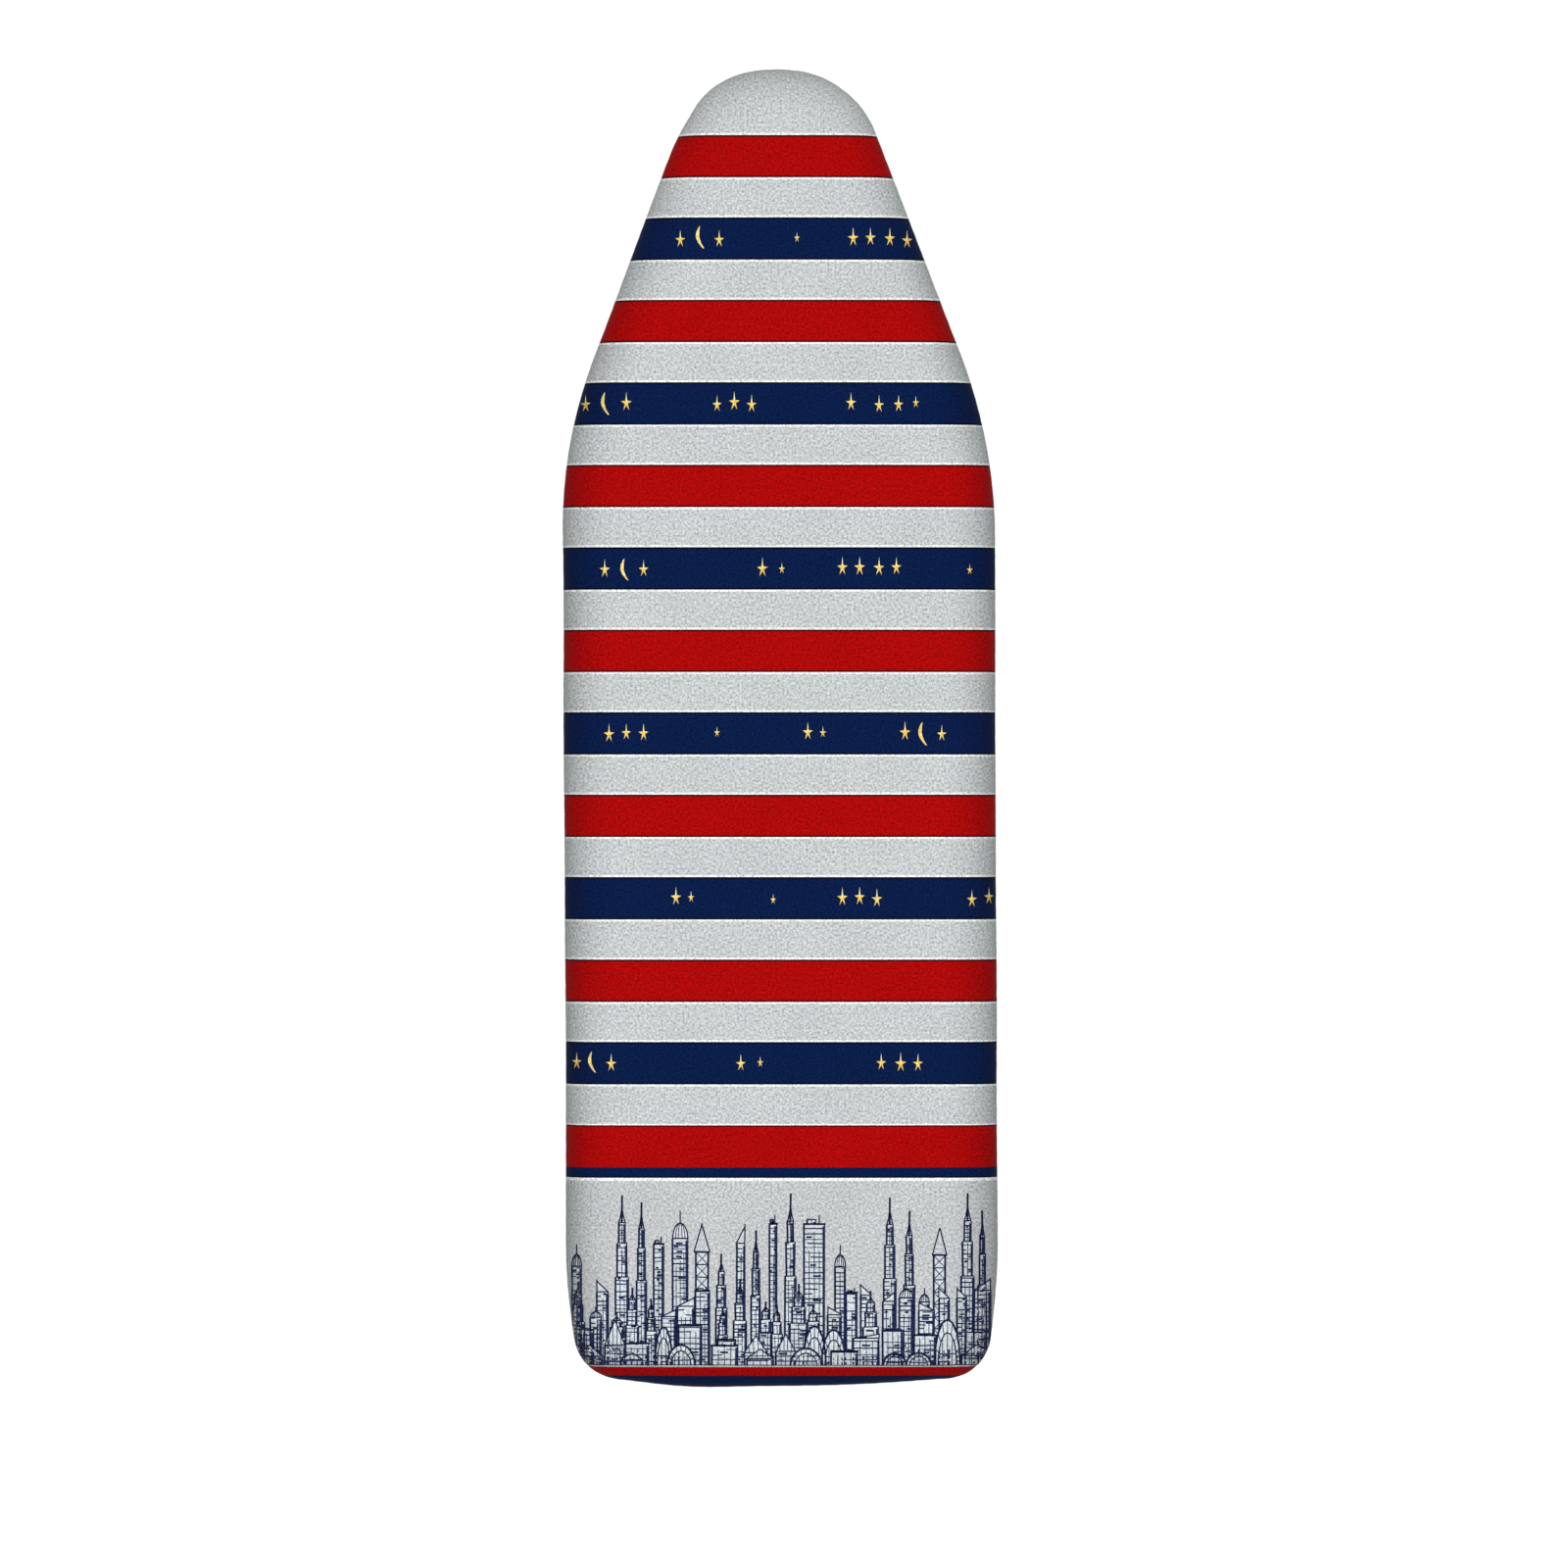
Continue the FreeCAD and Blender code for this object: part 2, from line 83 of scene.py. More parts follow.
def outline_moves():
    """Arcs (radius, turn) and straight runs (length, None) once round, clockwise from the nose tip."""
    flare = 90 - FLARE_ANGLE
    tail = 90 + TAIL_EASE_TURN
    corner = tail + CORNER_TURN
    flare_width = (
        HALF_WIDTH
        - NOSE_TIP_RADIUS * sine(NOSE_TIP_TURN)
        - NOSE_RADIUS * (sine(flare) - sine(NOSE_TIP_TURN))
        - SHOULDER_RADIUS * (1 - sine(flare))
    )
    end_half_width = (
        HALF_WIDTH - TAIL_EASE_RADIUS * (1 - sine(tail)) - CORNER_RADIUS * (sine(tail) - sine(corner))
    )
    end_radius = end_half_width / sine(corner)
    flare_length = flare_width / cosine(flare)
    curved_length = (
        NOSE_TIP_RADIUS * (1 - cosine(NOSE_TIP_TURN))
        + NOSE_RADIUS * (cosine(NOSE_TIP_TURN) - cosine(flare))
        + flare_length * sine(flare)
        + SHOULDER_RADIUS * cosine(flare)
        - TAIL_EASE_RADIUS * cosine(tail)
        + CORNER_RADIUS * (cosine(tail) - cosine(corner))
        + end_radius * (1 + cosine(corner))
    )
    half = [
        (NOSE_TIP_RADIUS, NOSE_TIP_TURN),
        (NOSE_RADIUS, flare - NOSE_TIP_TURN),
        (flare_length, None),
        (SHOULDER_RADIUS, FLARE_ANGLE),
        (2 * HALF_LENGTH - curved_length, None),
        (TAIL_EASE_RADIUS, TAIL_EASE_TURN),
        (CORNER_RADIUS, CORNER_TURN),
        (end_radius, 180 - corner),
    ]
    return half + half[::-1]


def moved_on(x, y, heading, size, turn, distance):
    """Place and heading after a distance along an arc or a straight run."""
    if turn is None:
        return x + distance * cosine(heading), y - distance * sine(heading), heading
    new = heading + math.degrees(distance / size)
    return x + size * (sine(new) - sine(heading)), y + size * (cosine(new) - cosine(heading)), new


def outline_samples(spacing):
    """Evenly spaced points round the outline, with their outward directions, as two arrays."""
    moves = outline_moves()
    lengths = [size if turn is None else size * math.radians(turn) for size, turn in moves]
    count = round(sum(lengths) / spacing)
    step = sum(lengths) / count
    points, outward = [], []
    x, y, heading = 0.0, HALF_LENGTH, 0.0
    passed, index = 0.0, 0
    for (size, turn), length in zip(moves, lengths):
        while index < count and index * step < passed + length:
            *point, here = moved_on(x, y, heading, size, turn, index * step - passed)
            points.append(point)
            outward.append((sine(here), cosine(here)))
            index += 1
        x, y, heading = moved_on(x, y, heading, size, turn, length)
        passed += length
    return np.array(points), np.array(outward)


SPACING = 1.25 * MM
EDGE, OUTWARD = outline_samples(SPACING)
ROUND = len(EDGE)


def round_noise(size, seed):
    """Smooth noise round the outline, with features about size long, closed on itself."""
    radius = ROUND * SPACING / size / (2 * math.pi)
    angles = 2 * math.pi * np.arange(ROUND) / ROUND
    return np.array([noise.noise((radius * math.cos(a), radius * math.sin(a), seed)) for a in angles])


def smooth_step(value):
    """Smooth rise from 0 to 1, held outside that range."""
    value = np.clip(value, 0, 1)
    return value * value * (3 - 2 * value)


def ring_faces(rings, count, closed=False, start=0):
    """Quads between rings of count points from start on; closed joins the last ring to the first."""
    faces = []
    for ring in range(rings if closed else rings - 1):
        here, there = start + ring * count, start + (ring + 1) % rings * count
        for k in range(count):
            after = (k + 1) % count
            faces.append((here + k, here + after, there + after, there + k))
    return faces


# ---------------------------------------------------------------- cover's shape
ROLL_WIDTH = 14 * MM
ROLL_DROP = 12 * MM
UNDER_ROUND = 5 * MM
FLAT_MARGIN = 16 * MM
HEM_INSET = 14.5 * MM
CROWN = 2.2 * MM
CROWN_END = 90 * MM
CLOTH_THICKNESS = 0.5 * MM
GATHER_LENGTH = 9 * MM
GATHER_DEPTH = 3.2 * MM
GATHER_SPREAD = 1.1 * MM
# How much the cloth is gathered where the roll, the side and the round below end; at the hem it is 1
ROLL_GATHER = 0.1
SIDE_GATHER = 0.2
UNDER_GATHER = 0.55
HEM_RISE = 1.4 * MM
WAVE_HEIGHT = 0.35 * MM
WAVES_PER_METRE = 14
FILL_STEP = 5 * MM


def side_half_width(y):
    """Half the board's width at each y."""
    right = EDGE[:, 0] > 0
    order = np.argsort(EDGE[right, 1])
    return np.interp(y, EDGE[right, 1][order], EDGE[right, 0][order])


def crown(x, y):
    """How much the padded top swells above its edge."""
    across = 1 - np.clip(np.abs(x) / np.maximum(side_half_width(y), 1 * MM), 0, 1) ** 2
    return CROWN * across * smooth_step((HALF_LENGTH - np.abs(y)) / CROWN_END)


def top_waves(x, y):
    """Soft unevenness of the padding, a fraction of a millimetre."""
    spots = [(px * WAVES_PER_METRE, py * WAVES_PER_METRE, 3.0) for px, py in zip(x, y)]
    return WAVE_HEIGHT * np.array([noise.noise(spot) for spot in spots])


def section():
    """Stations from the flat top, over the edge and under to the hem.

    Each is (inset, height, length of cloth from the start of the roll, how much it is gathered).
    """
    stations = [(FLAT_MARGIN, COVER_TOP, ROLL_WIDTH - FLAT_MARGIN, 0.0)]
    steps = 11
    for k in range(steps + 1):
        angle = 90 * k / steps
        stations.append((
            ROLL_WIDTH * (1 - sine(angle)),
            COVER_TOP - ROLL_DROP * (1 - cosine(angle)),
            None,
            ROLL_GATHER * (k / steps) ** 2,
        ))
    side_top = COVER_TOP - ROLL_DROP
    side_bottom = COVER_BOTTOM + UNDER_ROUND
    for share in (0.35, 0.7):
        gather = ROLL_GATHER + (SIDE_GATHER - ROLL_GATHER) * share
        stations.append((0.0, side_top + share * (side_bottom - side_top), None, gather))
    steps = 6
    for k in range(steps + 1):
        angle = 90 * k / steps
        inset = UNDER_ROUND * (1 - cosine(angle))
        height = COVER_BOTTOM + UNDER_ROUND * (1 - sine(angle))
        gather = SIDE_GATHER + (UNDER_GATHER - SIDE_GATHER) * k / steps
        stations.append((inset, height, None, gather))
    for k in range(1, steps + 1):
        inset = UNDER_ROUND + (HEM_INSET - UNDER_ROUND) * k / steps
        gather = UNDER_GATHER + (1 - UNDER_GATHER) * k / steps
        stations.append((inset, COVER_BOTTOM, None, gather))
    measured = [stations[0], (*stations[1][:2], 0.0, stations[1][3])]
    for inset, height, _, gather in stations[2:]:
        last = measured[-1]
        run = math.hypot(inset - last[0], height - last[1])
        measured.append((inset, height, last[2] + run, gather))
    return measured


STATIONS = section()
# The cover is widest where the roll ends; the hundredth more takes up rounding
WIDEST_RUN = max(run for inset, height, run, _ in STATIONS if height > COVER_TOP - 1.01 * ROLL_DROP)
ROLLED = [(inset, run) for inset, _, run, _ in STATIONS if run <= WIDEST_RUN]
# How far the flat cloth reaches past the board's outline
CLOTH_PAST_EDGE = STATIONS[-1][2] - ROLL_WIDTH


def gathers():
    """How far the cloth hangs in the puckers round the hem, from 0 to about 1."""
    count = round(ROUND * SPACING / GATHER_LENGTH)
    uneven_pitch = 6 * round_noise(34 * MM, 1.5)
    uneven_shape = 4 * round_noise(18 * MM, 4.5)
    uneven_depth = 0.6 * round_noise(45 * MM, 8.5)
    phase = 2 * math.pi * count * np.arange(ROUND) / ROUND + uneven_pitch
    puckers = 0.5 + 0.38 * np.sin(phase) + 0.12 * np.sin(2 * phase + uneven_shape)
    return np.clip(puckers * (0.8 + uneven_depth), 0, 1.1)


GATHERS = gathers()
# The stuffed cloth stands a little proud of the board all round and wanders, but covers the rim rod
PROUD = 0.6 * MM
LEAST_PROUD = -0.3 * MM
UNEVEN = 0.45 * MM
UNEVEN_LENGTH = 70 * MM
# It was pulled on a little askew, over to the left at the nose
ASKEW = 0.0048
ASKEW_MIDDLE = -13 * MM
# It is drawn in beside the nose, full at the corners, and sags out at the wide end, left of the middle
NOSE_SLIM = 1.4 * MM
SLIM_FROM_TIP = 22.5 * MM
SLIM_LENGTH = 9 * MM
TAIL_LENGTH = 45 * MM
TAIL_FADE = 30 * MM
TAIL_PROUD = 0.1 * MM
TAIL_SAG = 1.4 * MM
SAG_PLACE = -42 * MM
SAG_WIDTH = 26 * MM
CORNER_FULL = 0.9 * MM
CORNER_PLACE = 89 * MM
CORNER_WIDTH = 9 * MM


def hump(values, middle, width):
    """Smooth hump, 1 at the middle and near 0 beyond twice the width."""
    return np.exp(-(((values - middle) / width) ** 2))


def wander():
    """How far the cloth stands out from the board's edge at each point round it."""
    x, y = EDGE.T
    at_tail = smooth_step((-y - HALF_LENGTH + TAIL_LENGTH) / TAIL_FADE)
    tail = (
        TAIL_PROUD
        + TAIL_SAG * hump(x, SAG_PLACE, SAG_WIDTH)
        + CORNER_FULL * hump(np.abs(x), CORNER_PLACE, CORNER_WIDTH)
    )
    askew = -ASKEW * (y - ASKEW_MIDDLE) * OUTWARD[:, 0]
    slim = NOSE_SLIM * hump(HALF_LENGTH - y, SLIM_FROM_TIP, SLIM_LENGTH)
    out = PROUD + UNEVEN * round_noise(UNEVEN_LENGTH, 11.5) + at_tail * tail + askew - slim
    return np.maximum(out, LEAST_PROUD)


WANDER = wander()


def stand_out(inset, index):
    """How far the top of the cloth stands out of its place in the design, at an inset from the edge."""
    return WANDER[index] * smooth_step(1 - inset / FLAT_MARGIN)


def pucker_drop(gather):
    """How far the gathered cloth hangs at each point round the board, for a gather of 0 to 1."""
    return GATHER_DEPTH * gather**1.5 * GATHERS - HEM_RISE * smooth_step((gather - 0.7) / 0.3)


def ring_points(inset, height, gather):
    """Points of one ring of cloth round the board."""
    out = stand_out(inset, slice(None)) - inset
    out = out + GATHER_SPREAD * gather * (GATHERS - 0.5) * (height > COVER_BOTTOM)
    flat = EDGE + OUTWARD * out[:, None]
    z = height - pucker_drop(gather)
    swell = smooth_step((height - COVER_TOP + ROLL_DROP) / ROLL_DROP)
    z = z + swell * (crown(flat[:, 0], flat[:, 1]) + top_waves(flat[:, 0], flat[:, 1]))
    return np.column_stack([flat, z])


def cover_mesh():
    """Cloth of the cover as (points, flat cloth points, faces): rings over the edge, a fill inside."""
    points = [ring_points(inset, height, gather) for inset, height, _, gather in STATIONS]
    cloth = [EDGE + OUTWARD * (run - ROLL_WIDTH) for _, _, run, _ in STATIONS]
    faces = ring_faces(len(STATIONS), ROUND)
    fill_points, fill_faces = inner_fill(cloth[0])
    z = COVER_TOP + crown(*fill_points.T) + top_waves(*fill_points.T)
    start = len(STATIONS) * ROUND
    lookup = list(range(ROUND)) + list(range(start, start + len(fill_points)))
    faces += [tuple(lookup[i] for i in face) for face in fill_faces]
    points.append(np.column_stack([fill_points, z]))
    cloth.append(fill_points)
    return np.vstack(points), np.vstack(cloth), faces


def inner_fill(ring):
    """Staggered points inside a ring, and triangles that join both. Ring points come first."""
    rows = np.arange(-HALF_LENGTH, HALF_LENGTH, FILL_STEP * sine(60))
    inside = []
    for number, y in enumerate(rows):
        limit = float(side_half_width(y)) - FLAT_MARGIN
        for x in np.arange(-HALF_WIDTH + FILL_STEP / 2 * (number % 2), HALF_WIDTH, FILL_STEP):
            gap = np.min(np.hypot(ring[:, 0] - x, ring[:, 1] - y)) if abs(x) < limit else 0
            if gap > 0.6 * FILL_STEP and within_ring(x, y, ring):
                inside.append((x, y))
    inside = np.array(inside)
    everything = [Vector(p) for p in np.vstack([ring, inside])]
    border = [(k, (k + 1) % ROUND) for k in range(ROUND)]
    vertices, _, triangles, *_ = delaunay_2d_cdt(everything, border, [], 1, 1e-7)
    if len(vertices) != len(everything):
        raise RuntimeError("the fill of the cover's top has merged points")
    upwards = []
    for a, b, c in triangles:
        turn = (vertices[b] - vertices[a]).cross(vertices[c] - vertices[a])
        upwards.append((a, b, c) if turn > 0 else (a, c, b))
    return inside, upwards


def within_ring(x, y, ring):
    """Whether a point is on the inner side of its nearest ring point."""
    nearest = np.argmin(np.hypot(ring[:, 0] - x, ring[:, 1] - y))
    away = np.array((x, y)) - ring[nearest]
    return float(away @ OUTWARD[nearest]) < 0


def mesh_object(name, points, faces, attributes=()):
    """Smooth-shaded mesh with named per-point attributes, given as (name, type, values)."""
    mesh = bpy.data.meshes.new(name)
    mesh.from_pydata([tuple(p) for p in points], [], faces)
    mesh.polygons.foreach_set("use_smooth", [True] * len(faces))
    for label, kind, values in attributes:
        layer = mesh.attributes.new(label, kind, "POINT")
        layer.data.foreach_set("vector" if kind == "FLOAT_VECTOR" else "value", np.ravel(values))
    mesh.update()
    shown = bpy.data.objects.new(name, mesh)
    bpy.context.scene.collection.objects.link(shown)
    return shown


def nearest_edge(x, y):
    """Number of the outline's sample nearest to a point."""
    return np.argmin(np.hypot(EDGE[:, 0] - x, EDGE[:, 1] - y))


def cloth_attributes(cloth):
    """Attributes of points on the flat cloth, for mesh_object.

    They are the point itself, its distance from the board's widest edge, and its place along the board
    as seen from above, which the stripes follow, because they are straight seen from there.
    """
    cloth = np.array(cloth)
    flat = np.column_stack([cloth, np.zeros(len(cloth))])
    nearests = [nearest_edge(x, y) for x, y in cloth]
    inwards = np.array([float((EDGE[k] - spot) @ OUTWARD[k]) for k, spot in zip(nearests, cloth)])
    runs = [run for _, _, run, _ in STATIONS]
    from_edge = [inset if run <= WIDEST_RUN else run - WIDEST_RUN for inset, _, run, _ in STATIONS]
    run = ROLL_WIDTH - inwards
    edge = np.where(run < runs[0], inwards, np.interp(run, runs, from_edge))
    seen_inset = np.where(run <= WIDEST_RUN, edge, 0.0)
    along = EDGE[nearests, 1] + OUTWARD[nearests, 1] * (stand_out(seen_inset, nearests) - seen_inset)
    along = np.where(run < runs[0], cloth[:, 1], along)
    return [("cloth", "FLOAT_VECTOR", flat), ("edge", "FLOAT", edge), ("along", "FLOAT", along)]


def over_edge(x, y):
    """Flat cloth point that is seen from above at (x, y); past the edge it goes on down the side."""
    nearest = nearest_edge(x, y)
    outward = OUTWARD[nearest]
    tangent = np.array((outward[1], -outward[0]))
    offset = (x, y) - EDGE[nearest]
    inset = -float(offset @ outward)
    inset += float(stand_out(inset, nearest))
    if inset >= ROLL_WIDTH:
        return x, y
    if inset < 0:
        run = WIDEST_RUN - inset
    else:
        run = float(np.interp(-inset, [-i for i, _ in ROLLED], [r for _, r in ROLLED]))
    return tuple(EDGE[nearest] + outward * (run - ROLL_WIDTH) + tangent * (offset @ tangent))


HEM_MARGIN = 2 * MM


def past_hem(x, y):
    """Whether a flat cloth point lies beyond the hem, where there is no cloth to print on."""
    nearest = nearest_edge(x, y)
    return float(((x, y) - EDGE[nearest]) @ OUTWARD[nearest]) > CLOTH_PAST_EDGE - HEM_MARGIN


cover_points, cover_cloth, cover_faces = cover_mesh()


# ---------------------------------------------------------------- from flat cloth to the board
class Cloth:
    """Finds where a point of the flat cloth lies on the fitted cover."""

    def __init__(self):
        self.flat = [Vector((x, y, 0)) for x, y in cover_cloth]
        self.fitted = [Vector(p) for p in cover_points]
        self.triangles = []
        for face in cover_faces:
            self.triangles += [(face[0], face[k], face[k + 1]) for k in range(1, len(face) - 1)]
        self.tree = BVHTree.FromPolygons(self.flat, self.triangles)

    def place(self, x, y, lift):
        """Point of the fitted cover for flat (x, y), raised by lift."""
        spot, _, index, _ = self.tree.find_nearest(Vector((x, y, 0)))
        flat = [self.flat[i] for i in self.triangles[index]]
        fitted = [self.fitted[i] for i in self.triangles[index]]
        normal = (fitted[1] - fitted[0]).cross(fitted[2] - fitted[0]).normalized()
        if normal.z < -0.5 or (fitted[0].z > COVER_TOP - ROLL_DROP / 2 and normal.z < 0):
            normal = -normal
        return barycentric_transform(spot, *flat, *fitted) + normal * lift


cloth_map = Cloth()


# ---------------------------------------------------------------- materials
class Finish:
    """A node material, built by calls that each add one node and return its output."""

    def __init__(self, name, roughness=0.6, metallic=0.0, **fixed):
        self.material = bpy.data.materials.new(name)
        self.material.use_nodes = True
        self.tree = self.material.node_tree
        self.tree.nodes.clear()
        self.shader = self.tree.nodes.new("ShaderNodeBsdfPrincipled")
        output = self.tree.nodes.new("ShaderNodeOutputMaterial")
        self.tree.links.new(self.shader.outputs[0], output.inputs[0])
        self.shader.inputs["Roughness"].default_value = roughness
        self.shader.inputs["Metallic"].default_value = metallic
        for socket, value in fixed.items():
            self.shader.inputs[socket.replace("_", " ")].default_value = value

    def put(self, socket, value):
        """Link a node's output to a socket, or set its value."""
        if isinstance(value, bpy.types.NodeSocket):
            self.tree.links.new(value, socket)
        else:
            socket.default_value = value

    def node(self, kind, output=0, sockets=None, **settings):
        """Any shader node, with its settings and what goes into its sockets."""
        made = self.tree.nodes.new(f"ShaderNode{kind}")
        for label, value in settings.items():
            setattr(made, label, value)
        for label, value in (sockets or {}).items():
            self.put(made.inputs[label], value)
        return made.outputs[output]

    def attribute(self, name, output="Vector"):
        """Per-point attribute of the mesh; its output is "Fac" for a single number."""
        return self.node("Attribute", output, attribute_name=name)

    def position(self):
        """Place in the object's own coordinates."""
        return self.node("TexCoord", "Object")

    def math(self, operation, first, second=0.0, third=0.0):
        return self.node("Math", 0, {0: first, 1: second, 2: third}, operation=operation)

    def vector(self, operation, *values):
        return self.node("VectorMath", 0, dict(enumerate(values)), operation=operation)

    def noise(self, where, size, detail=2.0, roughness=0.5):
        """Noise with features about size metres across, from 0 to 1."""
        sockets = {"Vector": where, "Scale": 1 / size, "Detail": detail, "Roughness": roughness}
        return self.node("TexNoise", "Fac", sockets)

    def spread(self, value, low, high, to_low=0.0, to_high=1.0):
        """Value taken from the range low..high to to_low..to_high, with its ends held."""
        ends = {"From Min": low, "From Max": high, "To Min": to_low, "To Max": to_high}
        sockets = {"Value": value, **ends}
        return self.node("MapRange", "Result", sockets)

    def mix(self, share, first, second, blend="MIX"):
        """Colour between two others, the second at a share of 1."""
        sockets = {"Factor": share, "A": first, "B": second}
        made = self.tree.nodes.new("ShaderNodeMix")
        made.data_type = "RGBA"
        made.blend_type = blend
        for socket in made.inputs:
            if socket.name in sockets and socket.enabled:
                self.put(socket, sockets[socket.name])
        return next(socket for socket in made.outputs if socket.enabled)

    def bands(self, value, stops):
        """Colours that change sharply along value: (start, colour) in rising order, from 0 to 1."""
        made = self.tree.nodes.new("ShaderNodeValToRGB")
        made.color_ramp.interpolation = "CONSTANT"
        elements = made.color_ramp.elements
        elements.remove(elements[1])
        elements[0].position, elements[0].color = stops[0]
        for start, colour in stops[1:]:
            elements.new(start).color = colour
        self.put(made.inputs[0], value)
        return made.outputs[0]

    def bump(self, height, depth, under=None):
        """Relief of the given depth in metres, on top of another relief if one is given."""
        sockets = {"Height": height, "Distance": depth, "Strength": 1.0}
        if under is not None:
            sockets["Normal"] = under
        return self.node("Bump", 0, sockets)

    def finish(self, colour=None, roughness=None, relief=None):
        """Give the shader what was built, and return the material."""
        for label, value in (("Base Color", colour), ("Roughness", roughness), ("Normal", relief)):
            if value is not None:
                self.put(self.shader.inputs[label], value)
        return self.material


def srgb(text):
    """Linear colour for a six-digit sRGB one."""
    values = [int(text[k:k + 2], 16) / 255 for k in (0, 2, 4)]
    return (*[v / 12.92 if v <= 0.04045 else ((v + 0.055) / 1.055) ** 2.4 for v in values], 1.0)


GREY = srgb("aeb2b2")
PANEL_GREY = srgb("abaeaf")
WHITE = srgb("d9dbdb")
RED = srgb("960202")
DARK_RED = srgb("450404")
NAVY = srgb("03163d")
DARK_NAVY = srgb("020617")

# The printed pattern along the board, as distances from the nose tip
STRIPE = 19.6 * MM
REPEAT = 76.33 * MM
FIRST_RED = 30.7 * MM
LAST_RED = FIRST_RED + 6 * REPEAT
PALE_LINE = 0.8 * MM
DARK_LINE = 0.8 * MM
PANEL_TOP = 513.2 * MM
PANEL_BASE = 600.6 * MM
END_RED = 4.6 * MM
PATTERN_END = PANEL_BASE + END_RED + 60 * MM


def stripe_stops(start, width, colour, edge):
    """A coloured stripe with a dark line inside each edge and a pale line outside."""
    return [
        (start - PALE_LINE, WHITE),
        (start, edge),
        (start + DARK_LINE, colour),
        (start + width - DARK_LINE, edge),
        (start + width, WHITE),
        (start + width + PALE_LINE, GREY),
    ]


def scaled_stops(stops, origin, span):
    """Stops given in metres, moved into the range 0 to 1."""
    first = stops[0]
    placed = [((start - origin) / span, colour) for start, colour in stops]
    return [(0.0, GREY)] + placed if first[0] > origin else placed


def print_colour(finish):
    """Colour of the cloth's printed stripes from its place along the board."""
    from_nose = finish.math("SUBTRACT", HALF_LENGTH, finish.attribute("along", "Fac"))
    repeat_start = FIRST_RED - PALE_LINE
    turned = finish.math("SUBTRACT", from_nose, repeat_start)
    place = finish.math("FRACT", finish.math("DIVIDE", turned, REPEAT))
    stops = stripe_stops(FIRST_RED, STRIPE, RED, DARK_RED)
    stops += stripe_stops(FIRST_RED + REPEAT / 2, STRIPE, NAVY, DARK_NAVY)
    repeating = finish.bands(place, scaled_stops(stops, repeat_start, REPEAT))
    end_stops = [
        (LAST_RED - PALE_LINE, WHITE),
        (LAST_RED, DARK_RED),
        (LAST_RED + DARK_LINE, RED),
        (LAST_RED + STRIPE, NAVY),
        (PANEL_TOP - DARK_LINE, DARK_NAVY),
        (PANEL_TOP, WHITE),
        (PANEL_TOP + 1.5 * PALE_LINE, PANEL_GREY),
        (PANEL_BASE, RED),
        (PANEL_BASE + END_RED, NAVY),
    ]
    end_span = PATTERN_END - LAST_RED + 2 * PALE_LINE
    end_origin = LAST_RED - 2 * PALE_LINE
    end_place = finish.math("DIVIDE", finish.math("SUBTRACT", from_nose, end_origin), end_span)
    end = finish.bands(end_place, scaled_stops(end_stops, end_origin, end_span))
    middle = finish.mix(finish.math("LESS_THAN", from_nose, FIRST_RED / 2), repeating, GREY)
    return finish.mix(finish.math("GREATER_THAN", from_nose, end_origin), middle, end)


WEAVE_PITCH = 0.95 * MM
# Painted shade round the board's edge: how far in it reaches and how deeply it darkens the cloth
EDGE_SHADE_WIDTH = 24 * MM
EDGE_SHADE_DEPTH = 0.47
# The nose gets this share of the painted edge shade, and the shade grows to its whole depth over this
# length from the tip
NOSE_SHADE_SHARE = 0.45
SHADE_GROWS_OVER = 200 * MM


def weave(finish, pitch=WEAVE_PITCH, where=None):
    """Height of a plain weave, 0 to 1: threads go over and under by turns, each a little uneven."""
    where = where or finish.attribute("cloth")
    uneven = {"Vector": where, "Scale": 1 / (6 * pitch), "Detail": 2.0}
    wobble = finish.node("TexNoise", "Color", uneven)
    shift = finish.vector("SUBTRACT", wobble, (0.5, 0.5, 0.5))
    moved = finish.vector("MULTIPLY_ADD", shift, (1.2 * pitch,) * 3, where)
    split = finish.tree.nodes.new("ShaderNodeSeparateXYZ")
    finish.put(split.inputs[0], moved)
    waves = []
    for axis in ("X", "Y"):
        angle = finish.math("MULTIPLY", split.outputs[axis], 2 * math.pi / pitch)
        waves.append(finish.math("SINE", angle))
    product = finish.math("MULTIPLY", waves[0], waves[1])
    return finish.math("MULTIPLY_ADD", product, 0.5, 0.5)


